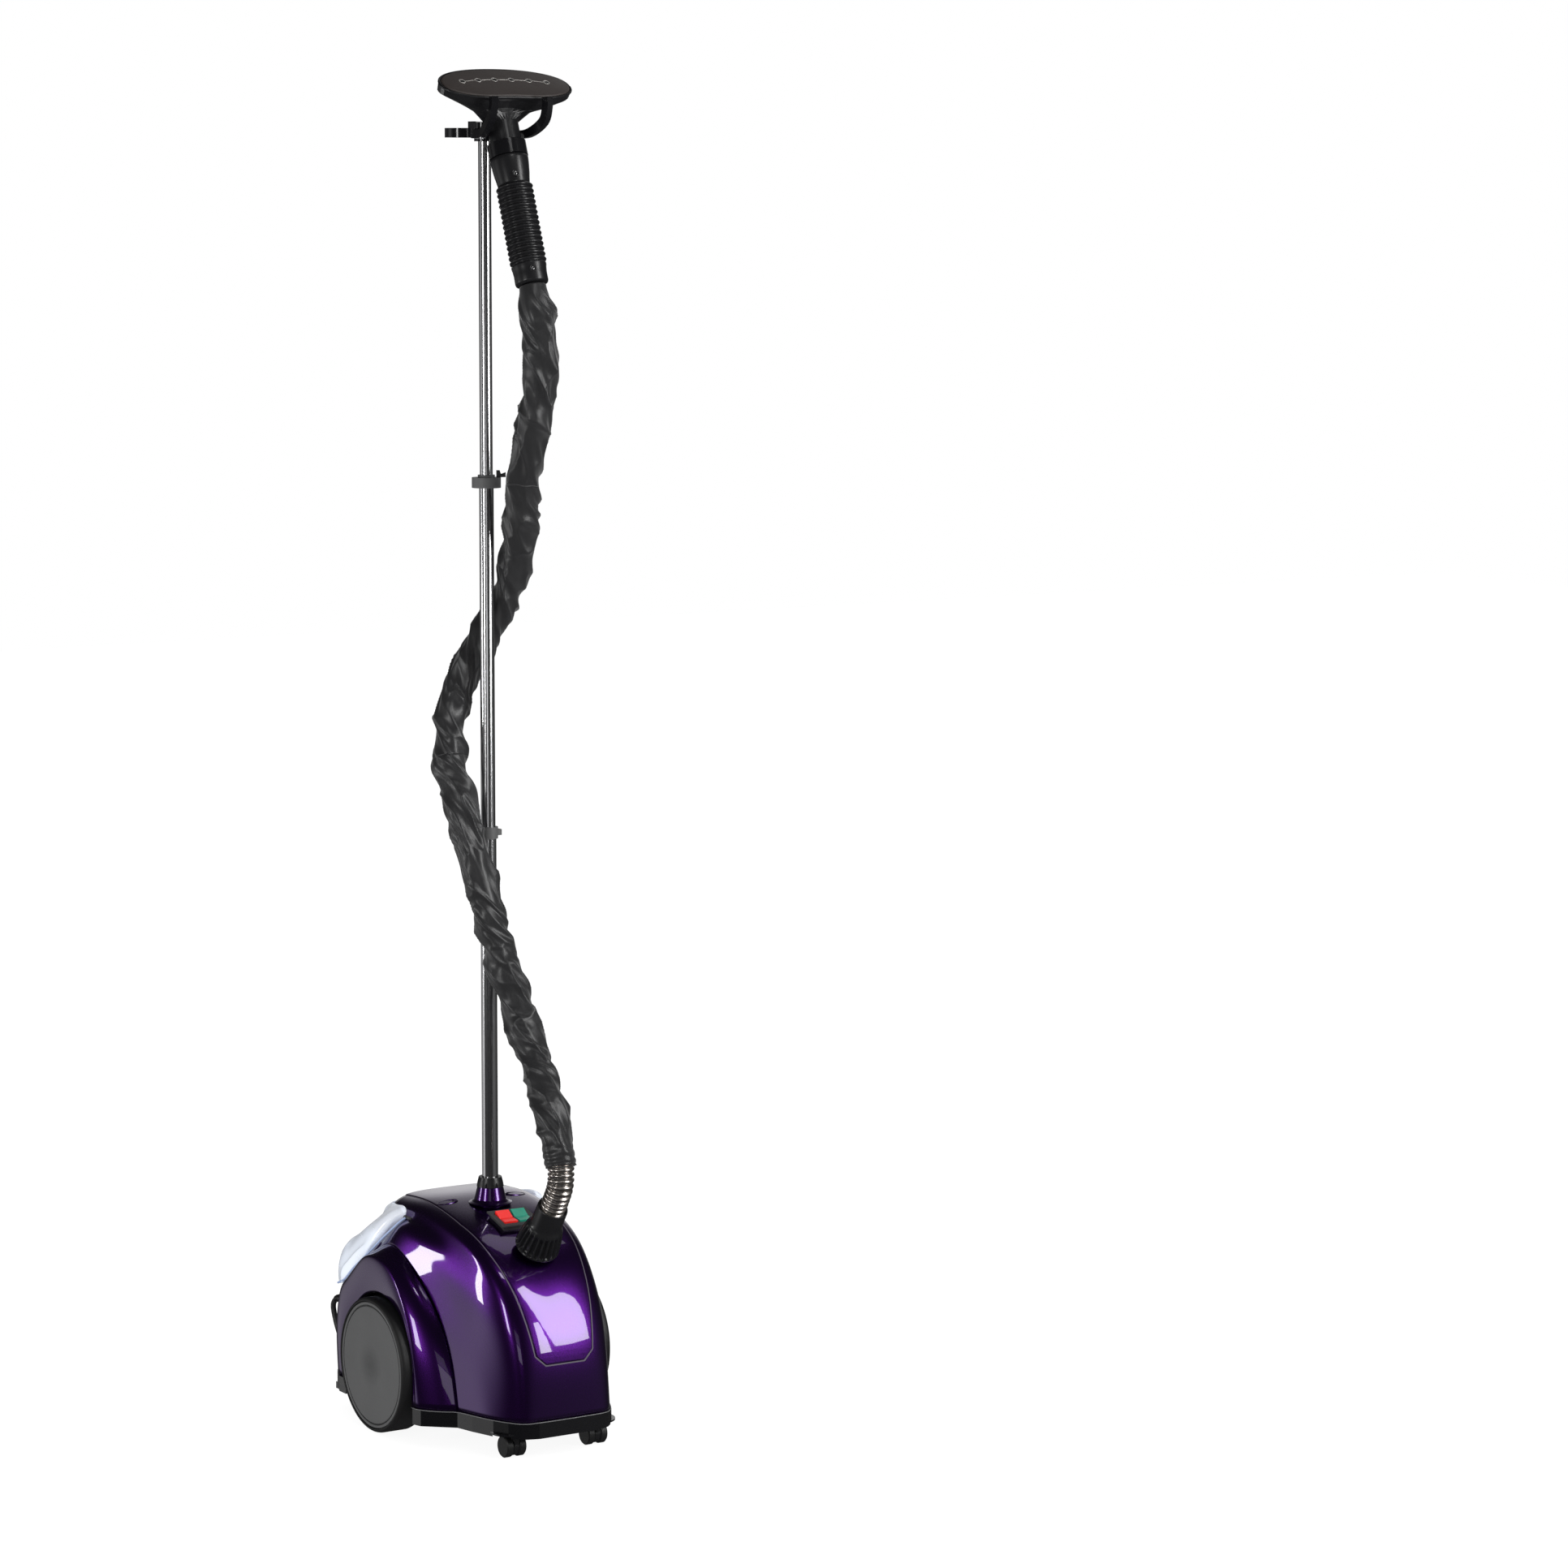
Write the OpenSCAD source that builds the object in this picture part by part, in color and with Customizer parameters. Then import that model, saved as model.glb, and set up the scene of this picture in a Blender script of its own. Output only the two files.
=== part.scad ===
// Upright garment steamer: a wheeled base with a lift-off water tank, a three-part
// telescopic pole with a hand-set fork, and a steam hose wound once round the pole.
// Front faces -Y, up is +Z, and the origin is on the floor under the pole.

/* [Base] */
// half the width of the front of the base, mm
front_half = 84; // [80:1:86]
// half the width over the two side pods, mm
pod_half = 128; // [126:1:130]
// height of the underside of the tray over the floor, mm
tray_z = 26; // [26:1:28]
// height of the joint between tray and covers, mm
tray_top = 45; // [44:1:48]
// height of the crown of the cover at the pole, mm
crown_z = 265; // [263:1:267]
// reach of the base in front of and behind the pole, mm
reach = 183; // [182:1:185]
// wall of the moulded covers, mm
wall = 3; // [2.5:0.5:3.5]
// half the width of the water tank over its shoulders, mm
tank_half = 118; // [112:1:120]

/* [Wheels] */
// radius of the rear wheels, mm
wheel_r = 80.5; // [79:0.5:81]
// distance of the rear axle behind the pole, mm
axle_y = 38.5; // [38:0.5:40]
// outer face of a rear wheel from the middle of the base, mm
wheel_out = 142; // [140:1:144]
// width of a rear wheel, mm
wheel_w = 38; // [34:1:39]
// sideways place of each front castor, mm
castor_x = 54.5; // [52:0.5:56]
// distance of the castors in front of the pole, mm
castor_y = 154; // [152:1:156]
// radius of a castor wheel, mm
castor_r = 13; // [12.5:0.5:13]

/* [Pole] */
// outer diameters of the lower, middle and top tubes, mm
tube_d = [19, 17, 15];
// height of the top of the lower tube, mm
lower_top = 716; // [700:1:730]
// height of the top of the middle tube, mm
middle_top = 1128; // [1110:1:1140]
// height of the fork arms' root, mm
fork_z = 1522; // [1500:1:1530]
// length of tube left inside the next one when drawn out, mm
lap = 140; // [130:5:150]

/* [Hand set] */
// lean of the hand set, top back, degrees
lean = 20.3; // [18:0.1:22]
// tilt of the steam plate from the axis of the hand set, degrees
plate_tilt = 51.4; // [48:0.1:55]
// width and depth of the steam plate, mm
plate_size = [164, 60];
// number of steam holes
holes = 6; // [4:1:8]
// number of grip ribs
ribs = 14; // [10:1:16]

/* [Hose] */
// outer diameter of the fabric sleeve, mm
sleeve_d = 38; // [36:1:40]
// outer diameter of the bare metal hose, mm
metal_d = 31; // [30:1:32]

/* [Render] */
// curve fineness of round parts
fine = 72; // [48:8:120]

/* [Hidden] */
$fn = fine;
run = 0.05;                       // running clearance on the radius
gap = 0.3;                        // clearance between neighbouring solids
axle_z = wheel_r;
wheel_in = wheel_out - wheel_w;
black = [0.07, 0.07, 0.075];
satin = [0.22, 0.22, 0.23];
purple = [0.20, 0.07, 0.33];
steel = [0.78, 0.78, 0.80];
cloth = [0.27, 0.27, 0.28];
clear = [0.80, 0.86, 0.92, 0.6];
neck = [0, -41, 1541];            // middle of the hand set's neck
plate_c = [0, -21.7, 32.5];       // middle of the steam plate, from the neck
spigot = [0, -109, 232];          // foot of the steam outlet
spigot_tilt = 35.5;               // forward tilt of the steam outlet
bezel_c = [0, -56, 256.5];        // middle of the switch bezel
bezel_tilt = 16.5;                // slope of the cover under the switches
ring_c = [0, 50, fork_z + 4];     // middle of the hanger ring

// ---- curves ----
function bez(a, b, c, d, t) = a*pow(1-t, 3) + 3*b*t*pow(1-t, 2) + 3*c*t*t*(1-t) + d*pow(t, 3);
// round off an open line of points by cutting its corners n times
function soften(p, n) = n == 0 ? p :
    soften(concat([p[0]], [for (i = [0:len(p)-2]) each
        [p[i]*0.75 + p[i+1]*0.25, p[i]*0.25 + p[i+1]*0.75]], [p[len(p)-1]]), n-1);
function unit(v) = v/norm(v);
// outward normals of an open outline in the side view
function normals(p) = [for (i = [0:len(p)-1])
    let (d = unit(p[min(i+1, len(p)-1)] - p[max(i-1, 0)])) [-d[1], d[0]]];
function inset(p, d) = let (n = normals(p)) [for (i = [0:len(p)-1]) p[i] - n[i]*d];
// catmull-rom point between b and c
function cat(a, b, c, d, t) = 0.5*(2*b + (c-a)*t + (2*a-5*b+4*c-d)*t*t + (3*b-a-3*c+d)*t*t*t);
function spline(p, n) = concat([for (i = [0:len(p)-2]) each
    [for (k = [0:n-1]) cat(p[max(i-1, 0)], p[i], p[i+1], p[min(i+2, len(p)-1)], k/n)]],
    [p[len(p)-1]]);

// ---- solids from rings of points ----
// rings run anticlockwise seen from the last ring; each end closes on its middle point
function middle(r) = [for (k = [0:2]) sum_of(r, k)/len(r)];
function sum_of(r, k, i = 0) = i >= len(r) ? 0 : r[i][k] + sum_of(r, k, i+1);
module skin(rings) {
    n = len(rings[0]);
    m = len(rings);
    polyhedron(points = concat([for (r = rings) each r], [middle(rings[0]), middle(rings[m-1])]),
        convexity = 8, faces = concat(
        [for (i = [0:n-1]) [m*n, i, (i+1) % n]],
        [for (j = [0:m-2]) each [for (i = [0:n-1]) each let (k = (i+1) % n)
            [[j*n+i, (j+1)*n+k, j*n+k], [j*n+i, (j+1)*n+i, (j+1)*n+k]]]],
        [for (i = [0:n-1]) [m*n+1, (m-1)*n+(i+1) % n, (m-1)*n+i]]));
}
// solid through side-view outlines set at places along x
module across(xs, sections) {
    for (i = [0:len(xs)-2]) hull() for (k = [i, i+1])
        translate([xs[k]-0.01, 0, 0]) rotate([90, 0, 90]) linear_extrude(0.02) polygon(sections[k]);
}
// tube swept along points, with its section kept square to the path
function frame_next(u, t) = unit(u - (u*t)*t);
function frames(p, i, u) = i >= len(p) ? [] :
    let (t = unit(p[min(i+1, len(p)-1)] - p[max(i-1, 0)]), v = frame_next(u, t))
    concat([[v, cross(t, v)]], frames(p, i+1, v));
module sweep(p, shape, up = [1, 0, 0]) {
    f = frames(p, 0, up);
    skin([for (i = [0:len(p)-1]) [for (s = shape) p[i] + f[i][0]*s[0] + f[i][1]*s[1]]]);
}
function round_section(r, n) = [for (i = [0:n-1]) [r*cos(360*i/n), r*sin(360*i/n)]];

// ---- body outlines, seen from the side ----
front_line = [for (t = [0:1/14:1])
    bez([-reach, tray_top], [-reach-3, 150], [-150, crown_z-12], [0, crown_z], t)];
crown_line = soften([[0, crown_z], [70, crown_z+4], [98, crown_z-2], [104, crown_z-26],
    [104, 190]], 2);
centre_line = concat(front_line, [for (i = [1:len(crown_line)-1]) crown_line[i]]);
pod_inner = soften([[-92, tray_top], [-86, 100], [-54, 156], [-8, 206], [36, 250], [60, 249],
    [128, 193], [168, 152], [172, 120], [172, tray_top]], 2);
pod_outer = soften([[-57, tray_top], [-50, 100], [-32, 148], [-4, 190], [36, 208], [72, 208],
    [116, 166], [146, 156], [150, 120], [150, tray_top]], 2);
pod_front = 12;                   // points of a softened pod line that belong to its front
function low(p) = [for (q = p) [q[0], max(q[1], tray_top)]];
function shut(p) = concat(p, [[p[len(p)-1][0], tray_top], [p[0][0], tray_top]]);
function ease(s) = 1 - sqrt(max(0, 1 - s*s));
centre_steps = [0, 0.4, 0.7, 0.9, 1];

module centre_solid(d) {
    r = 26;
    h = front_half - d;
    xs = concat([for (i = [4:-1:0]) -(h-r) - r*centre_steps[i]], [for (s = centre_steps) h-r+r*s]);
    across(xs, [for (x = xs) let (s = max(0, (abs(x)-(h-r))/r))
        shut(low(inset(centre_line, d + r*ease(s)*0.82)))]);
}
module pod_solid(d) {
    in = 92;
    h = pod_half - d;
    xs = concat([for (i = [4:-1:0]) -in - (h-in)*centre_steps[i]],
        [for (s = centre_steps) in + (h-in)*s]);
    across(xs, [for (x = xs) let (s = max(0, (abs(x)-in)/(h-in)), e = ease(s))
        shut(low(inset([for (i = [0:len(pod_inner)-1]) let (k = i < pod_front ? (s*3+e)/4 : e)
            pod_inner[i]*(1-k) + pod_outer[i]*k], d)))]);
}
module arch_space(extra) {
    for (s = [-1, 1]) translate([s*(wheel_in-4-extra), axle_y, axle_z]) rotate([0, s*90, 0])
        cylinder(r = wheel_r + 4 + extra, h = 60);
    for (s = [-1, 1]) translate([s*(wheel_in+26-extra/2), axle_y, 20])
        cube([60+extra, 2*(wheel_r+4+extra), 60], center = true);
}
// the hollow in the back of the base that the tank drops into
// ---- base ----
function tray_side(d) = [[-100, 176-d], [-118+d, 170-d], [-131+d, 140-d], [-131+d, -46+d],
    [-127+d, -59+d], [-94+d, -88+d], [-88+d, -113], [-78+d, -145], [-69+d, -165+d],
    [-58+d, -176+d], [-38, -reach+d]];
function tray_plan(d) = let (p = tray_side(d), n = len(p))
    concat(p, [for (i = [n-1:-1:0]) [-p[i][0], p[i][1]]]);

module chassis() {
    color(black) {
        difference() {
            translate([0, 0, tray_z]) linear_extrude(tray_top-tray_z-gap) polygon(tray_plan(0));
            translate([0, 0, tray_z+4]) linear_extrude(40) polygon(tray_plan(wall));
            arch_space(0);
            for (s = [-1, 1]) translate([s*castor_x, -castor_y, tray_z-1]) {
                cylinder(r = 4.05, h = 30);
            }
            for (s = [-1, 1]) translate([s*castor_x, -castor_y+7, tray_z-1])
                cylinder(r = 24, h = 4);
            for (x = [-60, 60], y = [-120, 110]) translate([x, y, tray_z-1])
                cylinder(d = 3.6, h = 8, $fn = 24);
        }
        // castor bosses
        for (s = [-1, 1]) translate([s*castor_x, -castor_y, tray_z+3]) difference() {
            cylinder(r = 9, h = 26);
            translate([0, 0, -1]) cylinder(r = 4.05, h = 24);
        }
        for (s = [-1, 1]) translate([s*castor_x, -castor_y+7, tray_z+3]) difference() {
            cylinder(r = 26, h = 2);
            translate([0, -7, -1]) cylinder(r = 5, h = 4);
        }
        // axle plates
        for (s = [-1, 1]) difference() {
            translate([s*(wheel_in-9)-2.5, axle_y-24, tray_z+3]) cube([5, 48, 80]);
            translate([s*(wheel_in-9)-4, axle_y, axle_z]) rotate([0, 90, 0]) cylinder(r = 5, h = 8);
        }
        // seat of the boiler
        for (x = [-38, 38], y = [-118, -62]) translate([x, y, tray_z+3]) cylinder(r = 6, h = 20);
        // back bumper and foot that the base rests on when it is laid back
        for (s = [-1, 1]) translate([s*112-8, 150, tray_z-4]) cube([16, 20, 8]);
    }
}
module centre_skin() {
    union() difference() {
        centre_solid(0);
        centre_solid(wall);
        translate([-200, -300, tray_top-60]) cube([400, 600, 60.01]);
        translate([-200, 60, 40]) cube([400, 140, 150]);
        translate([-120, 97, 0]) cube([240, 100, 400]);
    }
}
module front_holes() {
    translate([0, 0, 200]) cylinder(r = 16.3, h = 100);
    at_spigot() translate([0, 0, -30]) cylinder(r = 14.3, h = 60);
    at_bezel() cube([44.6, 34.6, 40], center = true);
    translate([-100, axle_y, axle_z]) rotate([0, 90, 0]) cylinder(r = 7, h = 200);
}
module front_shell() {
    color(purple) difference() {
        centre_skin();
        front_holes();
    }
}
module pod_skin(s) {
    union() difference() {
        intersection() {
            pod_solid(0);
            translate([s > 0 ? 20 : -200, -200, tray_top]) cube([180, 400, 400]);
        }
        pod_solid(wall);
        translate([-200, -300, tray_top-60]) cube([400, 600, 60.01]);
        scale([1.004, 1.002, 1.002]) centre_solid(0);
        arch_space(0);
        translate([-93, 60, 90]) cube([186, 120, 300]);
        translate([-92.3, 103.5, 0]) cube([184.6, 100, 100]);
    }
}
module side_shell(s) {
    color(purple) difference() {
        pod_skin(s);
        translate(lead_out - [0, 40, 0]) rotate([-90, 0, 0]) cylinder(r = 5.6, h = 60);
    }
}
// half-round inner walls of the wheel arches
module arch_liners() {
    color(black) for (s = [-1, 1]) intersection() {
        difference() {
            translate([s*(wheel_in-6), axle_y, axle_z]) rotate([0, s*90, 0])
                cylinder(r = wheel_r+5.6, h = pod_half-wheel_in+2);
            translate([s*(wheel_in-4), axle_y, axle_z]) rotate([0, s*90, 0])
                cylinder(r = wheel_r+4, h = 60);
            translate([s*80, axle_y, axle_z]) rotate([0, s*90, 0]) cylinder(r = 26, h = 40);
        }
        translate([-200, -43, tray_top+gap]) cube([400, 164, 200]);
    }
}
// raised middle panel that runs down the front from the pole
module panel_solid() {
    n = normals(front_line);
    w = [for (i = [0:14]) 37 + 24*pow(max(0, i-3)/11, 0.8)];
    skin([for (i = [3:14]) let (low = front_line[i] + n[i]*0.25, top = front_line[i] + n[i]*2.2)
        [[-w[i], low[0], low[1]], [1.5-w[i], top[0], top[1]],
        [w[i]-1.5, top[0], top[1]], [w[i], low[0], low[1]]]]);
}
module centre_panel() {
    color(purple) difference() {
        panel_solid();
        front_holes();
    }
}
module tank_bay() {
    color(black) difference() {
        union() {
            translate([-92, 104, tray_top+gap]) cube([184, 66, 50]);
            translate([-92, 104, 90]) cube([184, 66, 54]);
            translate([-80, 104, 140]) cube([160, 3, 112]);
        }
        translate([-89, 107, 96]) cube([178, 60, 300]);
        translate([-89, 107, tray_top]) cube([178, 60, 47]);
        translate([0, 137, 80]) cylinder(r = 9, h = 30);
        // way through for the feed tube
        translate([10, 100, 57]) rotate([-90, 0, 0]) cylinder(r = 9, h = 12);
    }
    color(black) difference() {
        translate([0, 137, 84]) cylinder(r = 14, h = 12);
        translate([0, 137, 83]) cylinder(r = 9, h = 14);
    }
}

// ---- switches ----
module at_bezel() {
    translate(bezel_c) rotate([bezel_tilt, 0, 0]) children();
}
module switch_bezel() {
    color(satin) at_bezel() {
        difference() {
            union() {
                cube([44, 34, 8], center = true);
                translate([0, 0, 3.7]) cube([52, 40, 1.8], center = true);
            }
            for (s = [-1, 1]) translate([s*10.2, 0, 0]) cube([18.6, 27.6, 20], center = true);
        }
        // pins that the rockers tilt on
        for (s = [-1, 1]) translate([s*10.2, 0, 0]) rotate([0, 90, 0])
            cylinder(r = 1.5, h = 18.8, center = true);
    }
}
module rocker(s, c) {
    color(c) at_bezel() translate([s*10.2, 0, 0]) rotate([0, 90, 0]) difference() {
        linear_extrude(17.6, center = true)
            polygon([[-6.2, -12.4], [-4.2, 0], [-8.2, 12.4], [1, 12.4], [3.6, 0], [1, -12.4]]);
        cylinder(r = 1.5+run, h = 30, center = true);
    }
}
module switch_bodies() {
    color(black) at_bezel() for (s = [-1, 1]) translate([s*10.4, 0, -14.5]) difference() {
        cube([20.4, 29.4, 20], center = true);
        translate([0, 0, 4]) cube([18.6, 27.6, 20], center = true);
    }
}

// ---- steam works ----
module boiler() {
    color(steel) {
        translate([-46, -126, 51]) cube([92, 72, 34]);
        translate([0, -90, 84]) cylinder(r = 15, h = 10);
        for (x = [-38, 38], y = [-118, -62]) translate([x, y, 49.2]) cylinder(r = 4, h = 3);
    }
}
module element() {
    color(steel) for (s = [-1, 1]) translate([s*28, -126.2, 66]) rotate([90, 0, 0])
        cylinder(r = 4, h = 14);
}
module thermostat() {
    color(steel) translate([24, -76, 85.1]) {
        cylinder(r = 8, h = 6);
        translate([0, 0, 6]) cylinder(r = 6, h = 4);
    }
}
module thermal_fuse() {
    color([0.85, 0.84, 0.78]) translate([-40, -70, 87.7]) rotate([90, 0, 0]) cylinder(r = 2.5, h = 24);
}
module steam_pipe() {
    color(cloth) sweep(spline([[0, -90, 94.2], [0, -90, 130], [0, -88, 170], [0, -93, 203],
        [0, -101.5, 221]], 5), round_section(7, 16));
}
module feed_tube() {
    color([0.85, 0.85, 0.82]) sweep(spline([[0, 137, 83.7], [0, 137, 62], [8, 110, 56], [30, 40, 60],
        [34, -10, 64], [34, -53.8, 66]], 5), round_section(4.5, 12));
}
module harness() {
    color([0.55, 0.30, 0.20]) {
        sweep(spline([lead_out - [0, 12.5, 0], [-96, 154, 108], [-95.2, 134, 78], [-94.8, 106, 54],
            [-88, 86, 50], [-74, 40, 50], [-66, -40, 52], [-58, -108, 58], [-40, -148, 66],
            [-28, -141.5, 66]], 4), round_section(2.2, 8));
        sweep(spline([[24, -76, 95.3], [30, -70, 130], [22, -60, 200], [12, -52, 229]], 4),
            round_section(2.2, 8));
    }
}
// steam outlet on the slope of the front, that the hose screws on to
module at_spigot() {
    translate(spigot) rotate([spigot_tilt, 0, 0]) children();
}
module steam_spigot() {
    color(black) at_spigot() difference() {
        union() {
            translate([0, 0, -12]) cylinder(r = 14, h = 54);
            translate([0, 0, 2.8]) cylinder(r = 20, h = 1.4);
        }
        translate([0, 0, -20]) cylinder(r = 9.5, h = 80);
    }
}
module hose_nut() {
    color(black) at_spigot() difference() {
        rotate_extrude() polygon([[14+run, 4.6], [25.5, 4.6], [26.5, 7], [26, 16], [22.4, 36],
            [18.6, 42], [18.2, 70], [17.4, 71], [16.4, 71], [16.2, 46], [14+run, 42]]);
        for (a = [0:15:345]) rotate([0, 0, a]) translate([28.4, 0, 4]) rotate([0, -10, 0])
            cylinder(r = 2.6, h = 34, $fn = 24);
    }
}

// ---- rear wheels ----
module rear_axle() {
    color(steel) translate([-(wheel_out-4), axle_y, axle_z]) rotate([0, 90, 0])
        cylinder(r = 5, h = 2*(wheel_out-4));
}
module axle_clips() {
    color(steel) for (s = [-1, 1]) translate([s*(wheel_out-8), axle_y, axle_z]) rotate([0, 90, 0])
        difference() {
            cylinder(r = 9, h = 1.6, center = true);
            cylinder(r = 5, h = 3, center = true);
        }
}
module at_wheel(s) {
    translate([s*wheel_out, axle_y, axle_z]) rotate([0, s*90, 0]) rotate([180, 0, 0]) children();
}
// a wheel is drawn from its outer face inwards
module wheel_hub(s) {
    color(black) at_wheel(s) difference() {
        union() {
            translate([0, 0, 10]) cylinder(r = 15, h = wheel_w-10);
            translate([0, 0, 12]) cylinder(r = 73.8, h = 3);
            difference() {
                translate([0, 0, 3.4]) cylinder(r = 75.8, h = wheel_w-6);
                translate([0, 0, 2]) cylinder(r = 73, h = wheel_w);
            }
            for (a = [0:60:300]) rotate([0, 0, a]) translate([13, -1.5, 13]) cube([61, 3, wheel_w-22]);
        }
        translate([0, 0, -1]) cylinder(r = 5+run, h = wheel_w+2);
    }
}
module wheel_tyre(s) {
    color([0.12, 0.12, 0.12]) at_wheel(s) rotate_extrude($fn = 96) polygon([[75.8, 4.5], [78.6, 4.5],
        [80, 8], [wheel_r, 14], [wheel_r, wheel_w-10], [79.4, wheel_w-2], [76.8, wheel_w], [75.8, wheel_w]]);
}
module wheel_disc(s) {
    color(satin) at_wheel(s) rotate_extrude($fn = 96) polygon([[0, 0.2], [40, 0.1], [74.6, 0], [75, 0.8],
        [75.4, 0.8], [75.8, 0.2], [78.6, 1], [79.4, 2.4], [79, 4.4], [75.8, 4.4], [75.8, 3.4], [0, 3.4]]);
}

// ---- front castors ----
module at_castor(s) {
    translate([s*castor_x, -castor_y, 0]) children();
}
module castor(s) {
    color(black) at_castor(s) {
        translate([0, 0, 27]) cylinder(r = 4.05-run, h = 23);
        difference() {
            union() {
                translate([0, 0, 16]) cylinder(r = 6, h = 12.4);
                translate([0, 7, castor_r]) rotate([0, 90, 0]) cylinder(r = 11.5, h = 6.4, center = true);
            }
            translate([0, 7, castor_r]) rotate([0, 90, 0]) cylinder(r = 2+run, h = 40, center = true);
            // room for the two wheels
            for (k = [-1, 1]) translate([k*8.3, 7, castor_r]) rotate([0, 90, 0])
                cylinder(r = castor_r+0.8, h = 9.8, center = true);
        }
    }
}
module castor_wheels(s) {
    color(black) at_castor(s) translate([0, 7, castor_r]) rotate([0, 90, 0]) {
        for (k = [-1, 1]) translate([0, 0, k*8.25]) rotate_extrude() polygon([[0, -4.5], [castor_r-1.2, -4.5],
            [castor_r, -3.2], [castor_r, 3.2], [castor_r-1.2, 4.5], [0, 4.5]]);
        cylinder(r = 2, h = 12, center = true);
    }
}

// ---- water tank ----
// shoulders of the tank, seen from the side: along its top, then back along its underside
function tank_line(d) = [[44+d, 262-d], [70, 258-d], [90, 243-d*1.2], [172-d, 206-d*1.2],
    [181-d, 196-d], [reach-d, 166+d], [172, 162+d*1.4], [128, 200+d*1.4], [60, 249+d], [44+d, 252+d]];
module tank_plan(d) {
    r = 34 - d;
    y = reach - 34;
    translate([-tank_half+d, 40]) square([2*tank_half-2*d, y-40]);
    translate([-tank_half+34, 40]) square([2*tank_half-68, reach-d-40]);
    for (s = [-1, 1]) translate([s*(tank_half-34), y]) circle(r = r);
}
module tank_shape(d) {
    translate([-86+d, 109+d, 99+d]) cube([172-2*d, 54-2*d, 104]);
    difference() {
        intersection() {
            translate([-120, 0, 0]) rotate([90, 0, 90]) linear_extrude(240) polygon(tank_line(d));
            linear_extrude(400) tank_plan(d);
        }
        translate([-88-d, 0, 0]) cube([176+2*d, 109+d, 400]);
    }
}
module water_tank() {
    color(clear) difference() {
        tank_shape(0);
        tank_shape(2);
        translate([0, 140, 196]) cylinder(r = 17, h = 60);
        translate([0, 137, 90]) cylinder(r = 6, h = 20);
    }
    // filler neck
    color(clear) difference() {
        translate([0, 140, 205]) cylinder(r = 20, h = 25);
        translate([0, 140, 200]) cylinder(r = 17, h = 40);
    }
}
module tank_cap() {
    color(black) translate([0, 140, 230.4]) difference() {
        union() {
            cylinder(r = 22, h = 9);
            translate([0, 0, -8]) cylinder(r = 17-run, h = 9);
        }
        for (a = [0:20:340]) rotate([0, 0, a]) translate([23, 0, -1]) cylinder(r = 2, h = 12, $fn = 16);
    }
}
module tank_valve() {
    color([0.85, 0.85, 0.85]) translate([0, 137, 0]) {
        translate([0, 0, 92]) cylinder(r = 6-gap, h = 15.4);
        translate([0, 0, 107.4]) cylinder(r = 10, h = 3);
    }
}

// ---- pole ----
module ring_tube(od, id, z0, z1) {
    difference() {
        translate([0, 0, z0]) cylinder(d = od, h = z1-z0);
        translate([0, 0, z0-1]) cylinder(d = id, h = z1-z0+2);
    }
}
module pole_socket() {
    color(purple) rotate_extrude() polygon([[tube_d[0]/2, 236], [16, 236], [16, 267.7], [25.2, 267.7],
        [25.6, 269], [22, 270.4], [19, 273], [15.4, 287.4], [tube_d[0]/2, 287.4]]);
}
module pole_nut() {
    color(black) difference() {
        rotate_extrude() polygon([[tube_d[0]/2+run, 287.8], [16, 287.8], [15.4, 292], [13.6, 299.4],
            [tube_d[0]/2+run, 299.4]]);
        for (a = [0:45:315]) rotate([0, 0, a]) translate([17.4, 0, 286]) cylinder(r = 2.4, h = 10, $fn = 24);
    }
}
module tube_lower() {
    color(steel) ring_tube(tube_d[0], tube_d[1]+2*run, 238, lower_top);
}
module tube_middle() {
    color(steel) ring_tube(tube_d[1], tube_d[2]+2*run, lower_top-lap, middle_top);
}
module tube_top() {
    color(steel) ring_tube(tube_d[2], tube_d[2]-2, middle_top-lap, fork_z+6);
}
module clip_lower() {
    color(satin) {
        ring_tube(23, tube_d[0]+2*run, lower_top-12, lower_top);
        translate([0, 0, lower_top]) ring_tube(23, tube_d[1]+4*run, 0, 1.6);
        translate([11, -4, lower_top-9]) cube([5, 8, 7]);
    }
}
lever_place = [12.3, -6.8, middle_top];
module clamp_upper() {
    color(satin) {
        difference() {
            ring_tube(34, tube_d[1], middle_top-12, middle_top);
            translate(lever_place - [0, 0, 6]) cylinder(r = 1.6+run, h = 20);
        }
        translate([0, 0, middle_top]) ring_tube(20, tube_d[2]+2*run, 0, 3);
    }
}
module clamp_lever() {
    color(black) translate(lever_place) rotate([0, 0, -29]) {
        translate([0, 0, -5.5]) cylinder(r = 1.6, h = 8);
        difference() {
            translate([-2.5, -2.5, 0.3]) cube([11, 5, 8]);
            translate([3, -4, 4]) rotate([0, -20, 0]) cube([20, 8, 10]);
        }
    }
}
module fork() {
    color(black) {
        difference() {
            translate([0, 0, fork_z-6]) cylinder(r = 12, h = 22);
            translate([0, 0, fork_z-7]) cylinder(d = tube_d[2], h = 13);
        }
        for (s = [-1, 1]) sweep(spline([[s*6, -3, fork_z+4], [s*24, -20, fork_z+2], [s*30, -50, fork_z+3],
            [s*35, -76, fork_z+16], [s*35, -85, fork_z+32], [s*35, -85, fork_z+44]], 5),
            [[4, 5], [-4, 5], [-4, -5], [4, -5]]);
    }
}
module hanger_ring() {
    color(black) {
        difference() {
            union() {
                translate(ring_c) cylinder(r = 22, h = 11, center = true);
                translate([-7, 11, fork_z-1.5]) cube([14, 22, 11]);
            }
            translate(ring_c) cylinder(r = 15, h = 20, center = true);
            cylinder(r = 12, h = 4000);
        }
        translate([-6, 12.5, fork_z+9.5]) cube([12, 16, 7.5]);
    }
}

// ---- hand set ----
module at_hand() {
    translate(neck) rotate([-lean, 0, 0]) children();
}
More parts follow.
